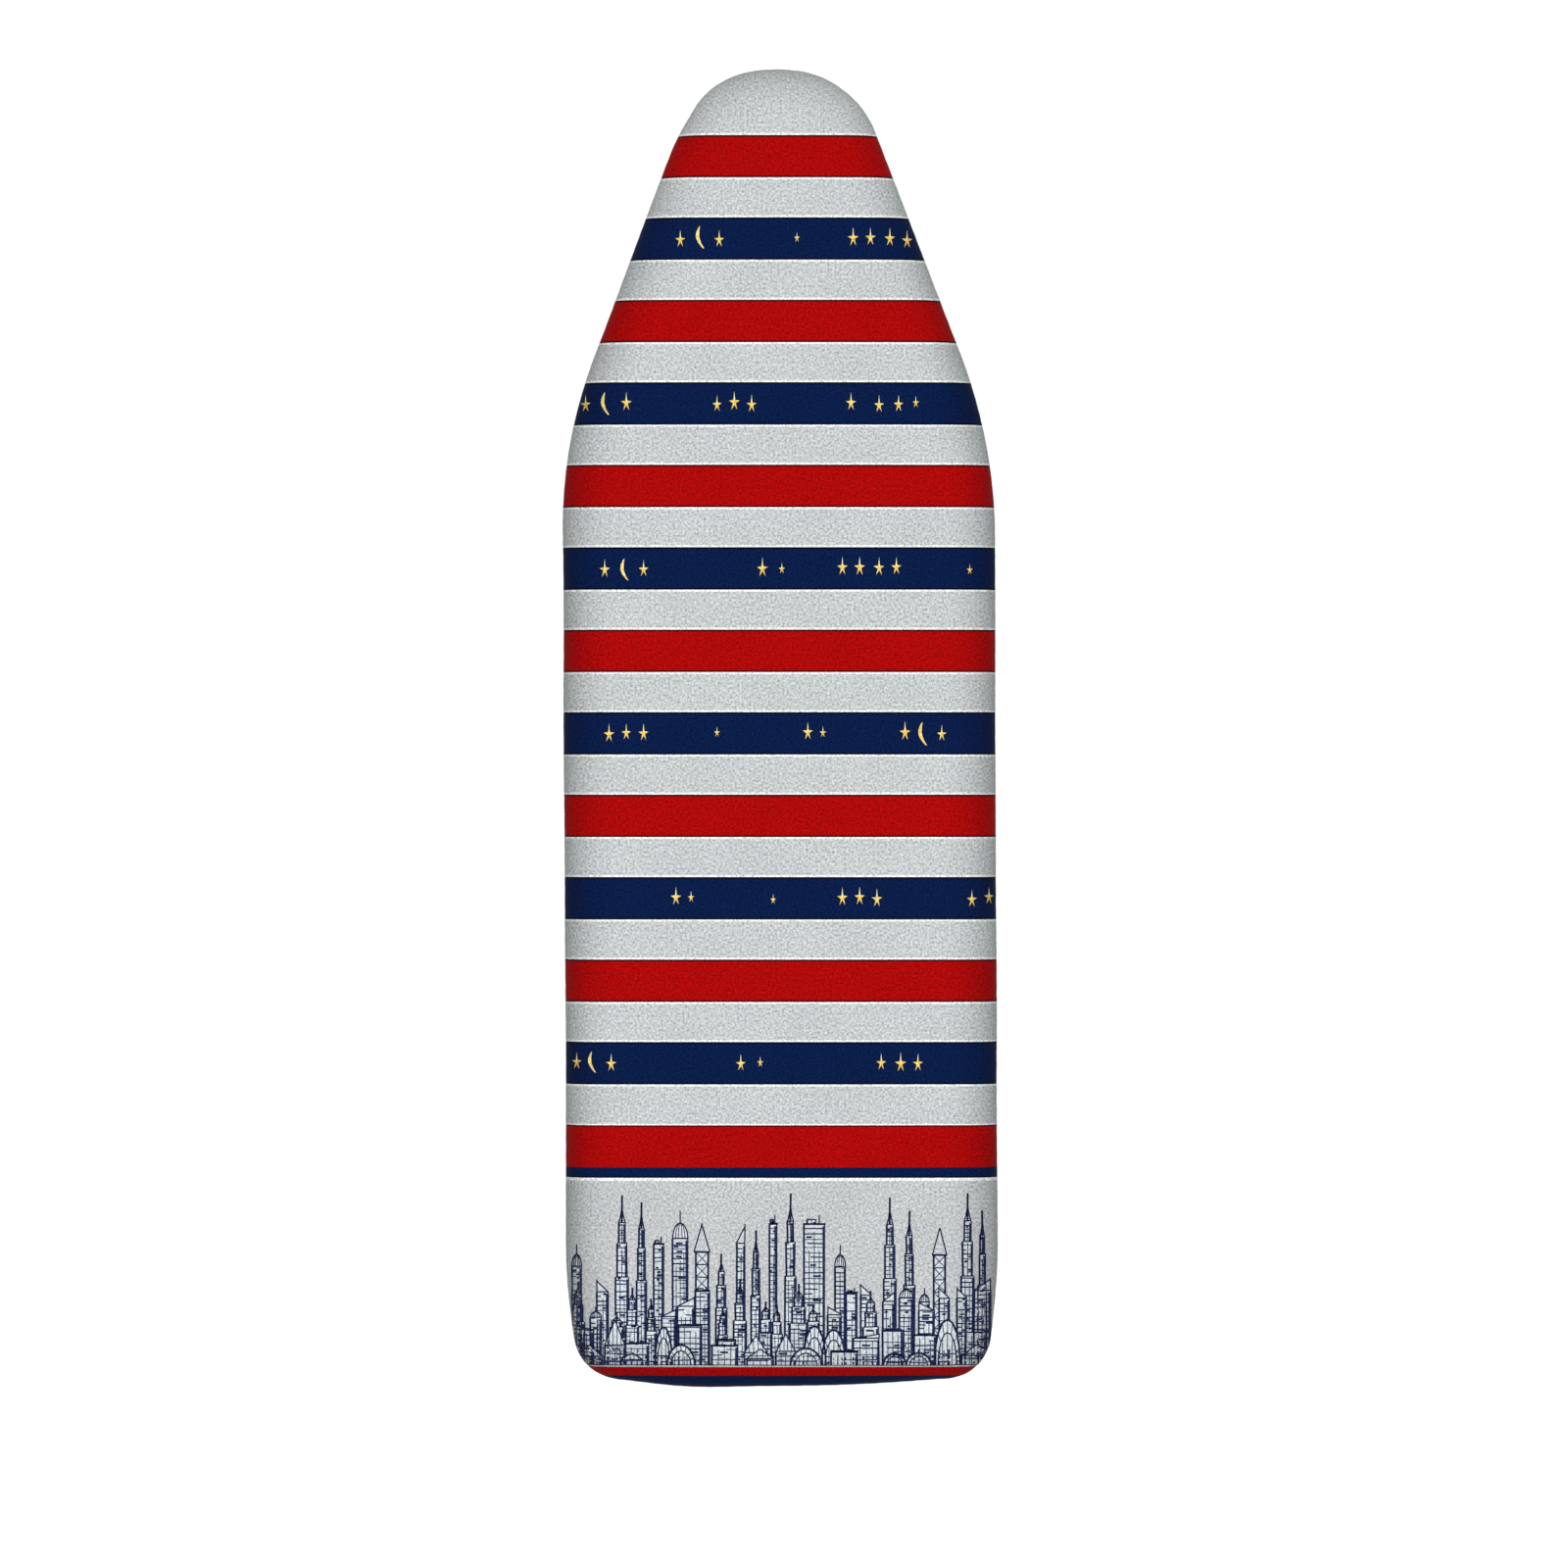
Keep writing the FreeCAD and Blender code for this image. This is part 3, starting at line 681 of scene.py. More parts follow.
def cloth_finish(name, colour_of, grain=1.0):
    """Brushed woven cotton: colour, mottled nap, weave with painted shade in its hollows, and painted
    shade near the board's edge.
    """
    gloss = {"Sheen_Weight": 0.015, "Sheen_Roughness": 0.5, "Specular_IOR_Level": 0.02}
    finish = Finish(name, roughness=0.88, **gloss)
    where = finish.attribute("cloth")
    colour = colour_of(finish)
    fine = finish.noise(where, 1.1 * MM, 2.0, 0.6)
    coarse = finish.noise(where, 26 * MM, 3.0)
    speck = finish.spread(fine, 0.25, 0.75, 1 - 0.5 * grain, 1 + 0.5 * grain)
    drift = finish.spread(coarse, 0.3, 0.7, 0.96, 1.03)
    threads = weave(finish)
    # Painted shade: the cloth darkens towards the board's edge, less at the nose
    inner = finish.spread(finish.attribute("edge", "Fac"), 0, EDGE_SHADE_WIDTH, 1, 0)
    from_nose = finish.math("SUBTRACT", HALF_LENGTH, finish.attribute("along", "Fac"))
    shade_depth = finish.spread(from_nose, 0, SHADE_GROWS_OVER, -EDGE_SHADE_DEPTH * NOSE_SHADE_SHARE, -EDGE_SHADE_DEPTH)
    edge_shade = finish.math("MULTIPLY_ADD", finish.math("POWER", inner, 1.6), shade_depth, 1)
    shade = finish.math("MULTIPLY", finish.math("MULTIPLY", speck, drift), edge_shade)
    # Painted shade in the weave's hollows and painted highlight on its crossings
    shade = finish.math("MULTIPLY", shade, finish.spread(threads, 0, 1, 0.93, 1.05))
    tone = finish.node("CombineColor", 0, {0: shade, 1: shade, 2: shade})
    printed = finish.mix(1.0, colour, tone, "MULTIPLY")
    fuzz = finish.spread(finish.noise(where, 0.8 * MM, 2.0), 0.45, 0.8, 0.0, 0.014)
    printed = finish.mix(fuzz, printed, GREY)
    relief = finish.bump(fine, 0.12 * MM, finish.bump(threads, 0.08 * MM))
    rough = finish.spread(fine, 0.3, 0.7, 0.82, 0.95)
    return finish.finish(printed, rough, relief)


def foam():
    """Open-cell foam: small irregular cells with painted shade in their pits, a little yellowed."""
    finish = Finish("foam", roughness=0.95, Specular_IOR_Level=0.2)
    where = finish.position()
    cells = finish.node("TexVoronoi", "Distance", {"Vector": where, "Scale": 1 / (1.1 * MM)})
    patch = finish.noise(where, 30 * MM, 2.0)
    colour = finish.mix(patch, srgb("e6dcb8"), srgb("efe9d2"))
    # Painted shade in the pits of the cells
    shaded_pits = finish.mix(finish.spread(cells, 0.1, 0.5, 0.6, 0.0), colour, srgb("8f855f"))
    return finish.finish(shaded_pits, None, finish.bump(cells, 0.5 * MM))


def tape():
    """Bias-cut woven tape: fine diagonal threads, worn paler in patches."""
    finish = Finish("binding_tape", roughness=0.85, Sheen_Weight=0.15, Specular_IOR_Level=0.25)
    where = finish.position()
    bias = {"Vector": where, "Axis": (0, 0, 1), "Angle": math.radians(45)}
    turned = finish.node("VectorRotate", 0, bias)
    threads = weave(finish, 0.7 * MM, turned)
    rub = finish.noise(where, 7 * MM, 4.0, 0.7)
    colour = finish.mix(finish.spread(rub, 0.45, 0.75, 0.0, 0.5), srgb("0b2250"), srgb("1c386e"))
    shaded = finish.mix(finish.spread(threads, 0, 1, 0.35, 0), colour, srgb("04102c"))
    return finish.finish(shaded, None, finish.bump(threads, 0.12 * MM))


def braid():
    """White woven elastic with a slight yellow cast."""
    finish = Finish("elastic_braid", roughness=0.75, Specular_IOR_Level=0.3)
    where = finish.position()
    threads = weave(finish, 0.6 * MM, where)
    stain = finish.noise(where, 20 * MM, 3.0)
    colour = finish.mix(stain, srgb("d8d6cb"), srgb("eceae2"))
    shaded = finish.mix(finish.spread(threads, 0, 1, 0.3, 0), colour, srgb("99968a"))
    return finish.finish(shaded, None, finish.bump(threads, 0.15 * MM))


def thread_finish():
    """Twisted sewing thread."""
    finish = Finish("sewing_thread", roughness=0.6, Sheen_Weight=0.2)
    where = finish.position()
    twist = finish.noise(where, 0.3 * MM, 2.0)
    colour = finish.mix(twist, srgb("c9ccd0"), srgb("f0f1f2"))
    return finish.finish(colour, None, finish.bump(twist, 0.05 * MM))


def powder_coat(name, colour):
    """Baked powder paint: orange peel, faint drift in tone, and fine scuffs."""
    finish = Finish(name, roughness=0.42)
    where = finish.position()
    peel = finish.noise(where, 1.6 * MM, 2.0, 0.45)
    drift = finish.noise(where, 40 * MM, 3.0)
    scuffs = finish.noise(where, 5 * MM, 8.0, 0.8)
    darker = (*[channel * 0.82 for channel in colour[:3]], 1)
    toned = finish.mix(finish.spread(drift, 0.3, 0.7), darker, colour)
    scuffed = finish.mix(finish.spread(scuffs, 0.62, 0.72, 0, 0.5), toned, srgb("85888a"))
    rough = finish.spread(scuffs, 0.35, 0.7, 0.34, 0.62)
    return finish.finish(scuffed, rough, finish.bump(peel, 0.08 * MM))


def galvanised():
    """Zinc-coated sheet: spangles of slightly different grey and gloss."""
    finish = Finish("galvanised_sheet", roughness=0.4, metallic=0.9)
    where = finish.position()
    bent = finish.node("TexNoise", "Color", {"Vector": where, "Scale": 1 / (3 * MM), "Detail": 3.0})
    moved = finish.vector("MULTIPLY_ADD", bent, (2.5 * MM,) * 3, where)
    cells = {"Vector": moved, "Scale": 1 / (6 * MM), "Randomness": 1.0}
    spangle = finish.node("TexVoronoi", "Color", cells)
    level = finish.node("SeparateColor", 0, {0: spangle})
    fern = finish.noise(where, 1.6 * MM, 5.0, 0.7)
    both = finish.math("MULTIPLY_ADD", level, 0.35, finish.math("MULTIPLY", fern, 0.65))
    colour = finish.mix(both, srgb("a6abae"), srgb("c9cdd0"))
    rough = finish.spread(both, 0.2, 0.8, 0.3, 0.55)
    return finish.finish(colour, rough, finish.bump(both, 0.05 * MM))


def zinc():
    """Bright zinc plating with a slight yellow and blue cast and fine drag marks."""
    finish = Finish("zinc_plating", roughness=0.3, metallic=1.0)
    where = finish.position()
    stretched = finish.vector("MULTIPLY", where, (0.12, 1, 1))
    drag = finish.noise(stretched, 0.7 * MM, 3.0)
    cast = finish.noise(where, 8 * MM, 2.0)
    colour = finish.mix(finish.spread(cast, 0.35, 0.65), srgb("c3c8cf"), srgb("d3cfbd"))
    rough = finish.spread(drag, 0.3, 0.7, 0.24, 0.42)
    return finish.finish(colour, rough, finish.bump(drag, 0.03 * MM))


def nylon():
    """Moulded nylon with the mould's fine sand texture."""
    finish = Finish("moulded_nylon", roughness=0.5)
    where = finish.position()
    sand = finish.noise(where, 0.6 * MM, 3.0, 0.6)
    flow = finish.noise(where, 9 * MM, 3.0)
    colour = finish.mix(finish.spread(flow, 0.3, 0.7), srgb("24272a"), srgb("34383b"))
    rough = finish.spread(sand, 0.3, 0.7, 0.42, 0.6)
    return finish.finish(colour, rough, finish.bump(sand, 0.08 * MM))


def rubber():
    """Moulded rubber, a little dusty."""
    finish = Finish("moulded_rubber", roughness=0.75, Specular_IOR_Level=0.35)
    where = finish.position()
    grain = finish.noise(where, 0.9 * MM, 3.0, 0.6)
    dust = finish.noise(where, 12 * MM, 5.0, 0.75)
    colour = finish.mix(finish.spread(dust, 0.45, 0.7, 0, 0.55), srgb("232324"), srgb("56544f"))
    rough = finish.spread(dust, 0.4, 0.7, 0.65, 0.85)
    return finish.finish(colour, rough, finish.bump(grain, 0.1 * MM))


cotton = cloth_finish("printed_cotton", print_colour)


# ---------------------------------------------------------------- cover
cover = mesh_object("fitted_cover", cover_points, cover_faces, cloth_attributes(cover_cloth))
cover.data.materials.append(cotton)
thicken = cover.modifiers.new("cloth", "SOLIDIFY")
thicken.thickness = CLOTH_THICKNESS
thicken.offset = -1
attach(cover, "top")
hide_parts("printed_cover")


# ---------------------------------------------------------------- stars and crescents
PRINT_LIFT = 0.06 * MM
ROW_OF_NAVY = FIRST_RED + REPEAT / 2 + STRIPE / 2


def star_outline(width, height):
    """Five-pointed star with a long upper spike, from its top point, clockwise."""
    tips = [(0.0, 0.58), (0.5, 0.06), (0.27, -0.44), (-0.27, -0.44), (-0.5, 0.06)]
    hollows = [(0.07, 0.10), (0.14, -0.08), (0.0, -0.17), (-0.14, -0.08), (-0.07, 0.10)]
    points = []
    for tip, hollow in zip(tips, hollows):
        points += [tip, hollow]
    return [(x * width, y * height) for x, y in points]


def crescent_spine(width, height, steps=9):
    """Crescent, open to the right, as (left, right, height) from its fine upper tip down."""
    bulge = 0.45
    spine = []
    for k in range(steps + 1):
        share = k / steps
        if share < bulge:
            bend = 0.5 * ((bulge - share) / bulge) ** 2
        else:
            bend = ((share - bulge) / (1 - bulge)) ** 1.7
        thickness = width * (0.08 + 0.40 * sine(165 * share**0.85))
        left = (bend - 0.55) * width
        spine.append((left, left + thickness, height * (0.5 - share)))
    return spine


STAR = (4.7 * MM, 8.0 * MM)
SPARK = (2.9 * MM, 4.9 * MM)
CRESCENT = (3.4 * MM, 10.6 * MM)

# What is printed on each navy stripe from the nose, with places from the centre line in millimetres
ROWS = [
    {"star": [-46, -28, 34, 42, 51, 59], "moon": [-37], "spark": [8]},
    {"star": [-90, -71, -29, -21, -13, 33, 46, 55], "moon": [-81], "spark": [63]},
    {"star": [-81, -63, -8, 29, 37, 46, 54], "moon": [-72], "spark": [1, 88]},
    {"star": [-79, -71, -63, 13, 58, 75], "moon": [66], "spark": [-29, 20]},
    {"star": [-48, 29, 37, 45, 89, 97], "moon": [], "spark": [-41, -3]},
    {"star": [-94, -78, -18, 47, 56, 64], "moon": [-87], "spark": [-9]},
]


class Printed:
    """Shapes printed on the cloth, as thin faces a hair above it."""

    def __init__(self):
        self.points, self.cloth, self.tones, self.faces = [], [], [], []

    def lay(self, corners, lift, tone):
        """Add points of the flat cloth; gives back the number of the first."""
        start = len(self.points)
        for x, y in corners:
            self.points.append(cloth_map.place(x, y, lift))
            self.cloth.append((x, y))
            self.tones.append(tone)
        return start

    def cover_with(self, face):
        """Keep a face unless part of it would fall past the hem."""
        if not any(past_hem(*self.cloth[i]) for i in face):
            self.faces.append(face)

    def show(self, name, material):
        """The finished piece."""
        tones = [("tone", "FLOAT", self.tones)]
        shown = mesh_object(name, self.points, self.faces, cloth_attributes(self.cloth) + tones)
        shown.data.materials.append(material)
        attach(shown, "top")


def gold_print():
    """Every star and crescent as small facets, the stars with a pale upper spike."""
    gold = Printed()

    def facet(corners, tone, splits=0):
        if splits:
            a, b, c = corners
            sides = ((a, b), (b, c), (c, a))
            ab, bc, ca = (((px + qx) / 2, (py + qy) / 2) for (px, py), (qx, qy) in sides)
            for piece in ((a, ab, ca), (ab, b, bc), (ca, bc, c), (ab, bc, ca)):
                facet(piece, tone, splits - 1)
            return
        start = gold.lay([over_edge(*seen) for seen in corners], PRINT_LIFT, tone)
        gold.faces.append(tuple(range(start, start + len(corners))))

    def moon(centre, size):
        spine = crescent_spine(CRESCENT[0] * size, CRESCENT[1] * size)
        for (left, right, top), (low_left, low_right, low) in zip(spine, spine[1:]):
            corners = [(left, top), (low_left, low), (low_right, low), (right, top)]
            placed = [(centre[0] + px, centre[1] + py) for px, py in corners]
            facet(placed, draw.uniform(0.3, 0.8))

    def star(centre, width, height):
        outline = star_outline(width, height)
        for k, (px, py) in enumerate(outline):
            qx, qy = outline[(k + 1) % len(outline)]
            tone = 1.0 if k in (0, 9) else 0.6 if k % 2 else 0.2
            placed = [(centre[0] + cx, centre[1] + cy) for cx, cy in ((0, 0), (qx, qy), (px, py))]
            facet(placed, tone + draw.uniform(-0.15, 0.05), 2)

    for number, row in enumerate(ROWS):
        y = HALF_LENGTH - ROW_OF_NAVY - number * REPEAT
        for across, kind in sorted((place, kind) for kind, places in row.items() for place in places):
            size = draw.uniform(0.9, 1.08)
            centre = (across * MM, y + draw.uniform(-0.7, 0.7) * MM)
            if kind == "moon":
                moon(centre, size)
            else:
                width, height = STAR if kind == "star" else SPARK
                star(centre, width * size, height * size)
    return gold


def ink_finish(name, light, dark):
    """Print on the cloth: between two tones, chosen by each stroke and broken up in small patches."""

    def colour(finish):
        tone = finish.attribute("tone", "Fac")
        patch = finish.noise(finish.attribute("cloth"), 1.4 * MM, 2.0)
        share = finish.math("ADD", tone, finish.spread(patch, 0.3, 0.7, -0.25, 0.25))
        return finish.mix(finish.spread(share, 0, 1), dark, light)

    return cloth_finish(name, colour, 0.8)


gold_print().show("gold_stars_and_crescents", ink_finish("gold_print", srgb("dfd99a"), srgb("d2a20a")))


# ---------------------------------------------------------------- skyline
LAYER_LIFT = 0.02 * MM
STROKE_PIECE = 1.5 * MM
SHORTEST_STROKE = 0.05 * MM
PANEL_HALF = 98 * MM
FINE_PEN = 0.42 * MM
PEN = 0.64 * MM
BROAD_PEN = 0.95 * MM
HAND_MISS = 0.16 * MM
WINDOW_PITCH = 2.0 * MM
FLOOR_PITCH = 1.95 * MM
# A wide building has windows at least as large as its half width over this
WIDE_WINDOWS = 2.2
# Shares of the floors whose line is left out, is cut short, and that have a dash of shade
LEFT_OUT = 0.08
CUT_SHORT = 0.3
DASHED = 0.38
SHADE_INSET = 0.55 * MM


def panel_point(x, height):
    """Flat cloth point for a place on the skyline, across and up from its base line."""
    return over_edge(x, HALF_LENGTH - PANEL_BASE + max(height, 0.0))


class Drawing:
    """Ink strokes and pale washes of the skyline, in layers that lie a little above each other."""

    def __init__(self):
        self.inks = Printed()
        self.washes = Printed()
        self.layer = 0

    def stroke(self, path, width, tone=None):
        """Ribbon of ink along a path, in pieces short enough to bend."""
        tone = draw.uniform(0.0, 0.75) if tone is None else tone
        lift = PRINT_LIFT + (self.layer * 2 + 1) * LAYER_LIFT
        for (x0, y0), (x1, y1) in zip(path, path[1:]):
            length = math.hypot(x1 - x0, y1 - y0)
            if length < SHORTEST_STROKE:
                continue
            across = ((y0 - y1) / length * width / 2, (x1 - x0) / length * width / 2)
            pieces = max(1, math.ceil(length / STROKE_PIECE))
            corners = []
            for k in range(pieces + 1):
                x, y = x0 + (x1 - x0) * k / pieces, y0 + (y1 - y0) * k / pieces
                corners += [(x + across[0], y + across[1]), (x - across[0], y - across[1])]
            start = self.inks.lay([panel_point(*c) for c in corners], lift, tone)
            for a in range(start, start + 2 * pieces, 2):
                self.inks.cover_with((a, a + 1, a + 3, a + 2))

    def wash(self, outline, tone):
        """Pale fill of a convex outline, in horizontal strips."""
        lift = PRINT_LIFT + self.layer * 2 * LAYER_LIFT
        low, high = min(y for _, y in outline), max(y for _, y in outline)
        strips = max(1, math.ceil((high - low) / (2 * STROKE_PIECE)))
        edges = []
        for k in range(strips + 1):
            y = low + (high - low) * min(max(k / strips, 0.001), 0.999)
            crossings = []
            for (x0, y0), (x1, y1) in zip(outline, outline[1:] + outline[:1]):
                if (y0 - y) * (y1 - y) < 0:
                    crossings.append(x0 + (x1 - x0) * (y - y0) / (y1 - y0))
            edges.append((min(crossings), max(crossings), y))
        widest = max(right - left for left, right, _ in edges)
        columns = max(1, math.ceil(widest / (2 * STROKE_PIECE)))
        corners = []
        for left, right, y in edges:
            corners += [panel_point(left + (right - left) * k / columns, y) for k in range(columns + 1)]
        start = self.washes.lay(corners, lift, tone)
        for strip in range(strips):
            for column in range(columns):
                a = start + strip * (columns + 1) + column
                self.washes.cover_with((a, a + 1, a + columns + 2, a + columns + 1))


sketch = Drawing()


def shaky(x0, y0, x1, y1, width=PEN, tone=None):
    """Straight stroke that misses its ends by a hair, as a hand does."""
    miss = [draw.uniform(-HAND_MISS, HAND_MISS) for _ in range(4)]
    sketch.stroke([(x0 + miss[0], y0 + miss[1]), (x1 + miss[2], y1 + miss[3])], width, tone)


def level(x, half, y, width=PEN, tone=None):
    """Stroke across, as far to the left of x as to the right."""
    shaky(x - half, y, x + half, y, width, tone)


def upright(x, low, high, width=PEN, tone=None):
    """Stroke straight up."""
    shaky(x, low, x, high, width, tone)


def block(x, half, low, high):
    """Corners of a rectangle."""
    return [(x - half, low), (x + half, low), (x + half, high), (x - half, high)]


def grid(x, half, low, high):
    """Window lines of a wall: floors across it and columns up it, some left out."""
    floor = max(FLOOR_PITCH, half / WIDE_WINDOWS)
    columns = max(2, round(2 * half / max(WINDOW_PITCH, half / WIDE_WINDOWS)))
    y = low + floor
    while y < high - 0.3 * MM:
        if draw.random() > LEFT_OUT:
            reach = half if draw.random() > CUT_SHORT else half * draw.uniform(0.3, 0.9)
            side = draw.choice((-1, 1))
            shaky(x - side * half, y, x - side * (half - 2 * reach), y, draw.choice((FINE_PEN, PEN)))
        if draw.random() < DASHED:
            left = x - half + draw.uniform(0.1, 0.6) * 2 * half
            right = min(left + draw.uniform(0.25, 0.5) * 2 * half, x + half)
            shaky(left, y + floor / 2, right, y + floor / 2, BROAD_PEN, draw.uniform(0, 0.4))
        y += floor * draw.uniform(0.8, 1.25)
    for k in range(1, columns):
        across = x - half + 2 * half * k / columns
        top = high - draw.uniform(0, 0.25) * (high - low)
        upright(across, low, top, FINE_PEN)


def shaft(x, half, low, high):
    """Straight part of a tower with its windows, shaded down one side."""
    sketch.wash(block(x, half, low, high), draw.uniform(0.3, 0.9))
    grid(x, half, low, high)
    upright(x - half, low, high, BROAD_PEN, 0.1)
    upright(x + half, low, high, PEN, 0.2)
    upright(x + half - SHADE_INSET, low, high - 1 * MM, BROAD_PEN, 0.35)
    level(x, half, high, PEN, 0.1)


def spire(x, half, low, high):
    """Pointed cap that ends in a mast."""
    shoulder = low + 0.45 * (high - low)
    sketch.wash([(x - half, low), (x + half, low), (x, shoulder + 2 * MM)], 0.7)
    for side in (-1, 1):
        foot = (x + side * half, low)
        bend = (x + side * half * 0.45, low + 0.5 * (shoulder - low))
        sketch.stroke([foot, bend, (x + side * 0.2 * MM, shoulder)], PEN, 0.1)
    upright(x, low, high, BROAD_PEN, 0.05)
    level(x, half * 0.6, low + 1 * MM, FINE_PEN)


def stepped_tower(x, half, height):
    """Tower that narrows twice below its spire."""
    cuts = [0.0, 0.52, 0.72, 0.84]
    for k in range(3):
        shaft(x, half * (1 - 0.24 * k), height * cuts[k], height * cuts[k + 1])
    spire(x, half * 0.5, height * cuts[3], height)


def slab_tower(x, half, height):
    """Flat-topped block with a parapet and a short mast."""
    roof = height * 0.94
    shaft(x, half, 0, roof)
    level(x, half + 0.5 * MM, roof, BROAD_PEN, 0.1)
    shaft(x - half * 0.3, half * 0.4, roof, height * 0.97)
    upright(x + half * 0.5, roof, height, PEN, 0.2)


def slant_tower(x, half, height):
    """Block with a sloping roof."""
    eaves, ridge = height * 0.86, height * 0.98
    shaft(x, half, 0, eaves)
    side = draw.choice((-1, 1))
    sketch.wash([(x - half, eaves), (x + half, eaves), (x + side * half, ridge)], 0.6)
    shaky(x - side * half, eaves, x + side * half, ridge, PEN, 0.1)
    upright(x + side * half, eaves, height, PEN, 0.15)


def domed_tower(x, half, height):
    """Round tower with a dome and a lantern."""
    shaft(x, half, 0, height * 0.82)
    dome(x, half, height * 0.82, height * 0.10)
    upright(x, height * 0.92, height, PEN, 0.1)


def braced_tower(x, half, height):
    """Tower with crossed braces on its wall and a gabled crown."""
    body = height * 0.8
    sketch.wash(block(x, half, 0, body), 0.6)
    bays = max(3, round(body / (2.2 * half)))
    for k in range(bays):
        low, high = body * k / bays, body * (k + 1) / bays
        shaky(x - half, low, x + half, high, FINE_PEN)
        shaky(x + half, low, x - half, high, FINE_PEN)
        level(x, half, low)
    for side in (-1, 1):
        upright(x + side * half, 0, body, BROAD_PEN, 0.15)
        shaky(x + side * half * 1.3, body, x, height, PEN, 0.1)
    level(x, half * 1.3, body, BROAD_PEN, 0.1)


def arc(x, half, low, rise, steps=8):
    """Points of a half-round arch or dome."""
    angles = [180 * k / steps for k in range(steps + 1)]
    return [(x - half * cosine(angle), low + rise * sine(angle)) for angle in angles]


def dome(x, half, low, rise):
    """Dome with ribs."""
    sketch.wash(arc(x, half, low, rise), 0.7)
    for share, pen in ((1.0, PEN), (0.62, FINE_PEN), (0.25, FINE_PEN)):
        sketch.stroke(arc(x, half * share, low, rise), pen, 0.15)
    level(x, half, low)


def arch(x, half, rise):
    """Round-arched hall with a second line, spokes between them and glazing bars inside."""
    inner_half, inner_rise = half * 0.72, rise * 0.72
    outer, inner = arc(x, half, 0, rise), arc(x, inner_half, 0, inner_rise)
    sketch.wash(outer, 0.8)
    sketch.stroke(outer, BROAD_PEN, 0.1)
    sketch.stroke(inner, PEN, 0.2)
    for a, b in zip(outer[1:-1], inner[1:-1]):
        sketch.stroke([a, b], FINE_PEN)
    bars = max(3, round(2 * inner_half / WINDOW_PITCH))
    for k in range(1, bars):
        across = 2 * k / bars - 1
        upright(x + across * inner_half, 0, inner_rise * math.sqrt(1 - across**2), FINE_PEN)
    level(x, inner_half, inner_rise * 0.35)


def gable(x, half, rise):
    """Low building with a pitched roof and hatched gable."""
    eaves = rise * 0.45
    shaft(x, half, 0, eaves)
    sketch.wash([(x - half, eaves), (x + half, eaves), (x, rise)], 0.7)
    sketch.stroke([(x - half, eaves), (x, rise), (x + half, eaves)], PEN, 0.1)
    for k in range(1, 5):
        across = x - half + 2 * half * k / 5
        upright(across, eaves, rise - (rise - eaves) * abs(across - x) / half, FINE_PEN)


def row_of(kinds, count, low_width, high_width, low_rise, high_rise):
    """Buildings side by side across the panel, of uneven place, width and height, in millimetres."""
    step = 2 * PANEL_HALF / count
    for k in range(count):
        x = -PANEL_HALF + (k + 0.5) * step + draw.uniform(-0.25, 0.25) * step
        half = draw.uniform(low_width, high_width) * MM / 2
        draw.choice(kinds)(x, half, draw.uniform(low_rise, high_rise) * MM)


# The tall towers from left to right: (place across, width, height, kind), in millimetres
TOWERS = [
    (-94, 4.5, 56, domed_tower), (-82, 5.0, 40, slant_tower), (-73, 6.0, 79, stepped_tower),
    (-64, 4.6, 76, stepped_tower), (-56, 4.4, 60, slab_tower), (-46, 7.0, 72, domed_tower),
    (-36, 5.6, 66, braced_tower), (-27, 5.0, 52, stepped_tower), (-18, 3.8, 66, slant_tower),
    (-11, 4.2, 63, stepped_tower), (-3, 3.4, 70, slab_tower), (5, 5.2, 80, stepped_tower),
    (16, 9.5, 70, slab_tower), (28, 5.0, 56, domed_tower), (40, 5.0, 38, slant_tower),
    (51, 5.6, 78, stepped_tower), (60, 5.0, 72, stepped_tower), (67, 4.4, 36, domed_tower),
    (74, 5.4, 64, braced_tower), (87, 6.2, 80, stepped_tower), (94, 3.8, 72, stepped_tower),
]

for place, width, height, kind in TOWERS:
    kind(place * MM, width * MM / 2, height * MM)
# Lower rows stand in front of the taller ones
sketch.layer = 1
row_of([slant_tower, slab_tower, domed_tower, stepped_tower], 23, 4.5, 8.0, 24, 41)
sketch.layer = 2
row_of([slab_tower, gable, slant_tower, slab_tower, arch], 15, 8, 13, 11, 22)
sketch.layer = 3
row_of([gable, slab_tower, gable, arch], 10, 10, 16, 5, 10)
level(0, PANEL_HALF, 0.3 * MM, FINE_PEN, 0.2)

sketch.washes.show("skyline_wash", ink_finish("skyline_wash", srgb("c3cacc"), srgb("a7adb0")))
sketch.inks.show("skyline_ink", ink_finish("skyline_ink", srgb("35426c"), srgb("080f2e")))


# ---------------------------------------------------------------- pad
PAD_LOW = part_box("foam_pad")[0]
PAD_VOXEL = 4 * MM
PAD_START_INSET = 3.0 * MM
PAD_START_HEIGHT = 6.5 * MM
PAD_EASE_WIDTH = 2 * MM
PAD_EASE_HEIGHT = 1.5 * MM
PAD_SWELL = 3.2 * MM
PAD_PRESSURE = 4.0
PAD_FRAMES = 20
PAD_CLEARANCE = 0.2 * MM


def pad_start():
    """Closed slab of foam a little smaller than the room for it, remeshed into even quads."""
    narrow = PAD_START_INSET + PAD_EASE_WIDTH
    insets = [narrow, PAD_START_INSET, PAD_START_INSET, narrow]
    heights = [0.0, PAD_EASE_HEIGHT, PAD_START_HEIGHT - PAD_EASE_HEIGHT, PAD_START_HEIGHT]
    points = []
    for inset, height in zip(insets, heights):
        ring = EDGE - OUTWARD * inset
        points.append(np.column_stack([ring, np.full(ROUND, PAD_LOW.z + height)]))
    faces = ring_faces(len(insets), ROUND)
    faces.append(tuple(range(ROUND)))
    last = (len(insets) - 1) * ROUND
    faces.append(tuple(range(last, last + ROUND))[::-1])
    rough = mesh_object("pad_start", np.vstack(points), faces)
    even = rough.modifiers.new("even", "REMESH")
    even.mode = "VOXEL"
    even.voxel_size = PAD_VOXEL
    return applied("padded_foam", rough)


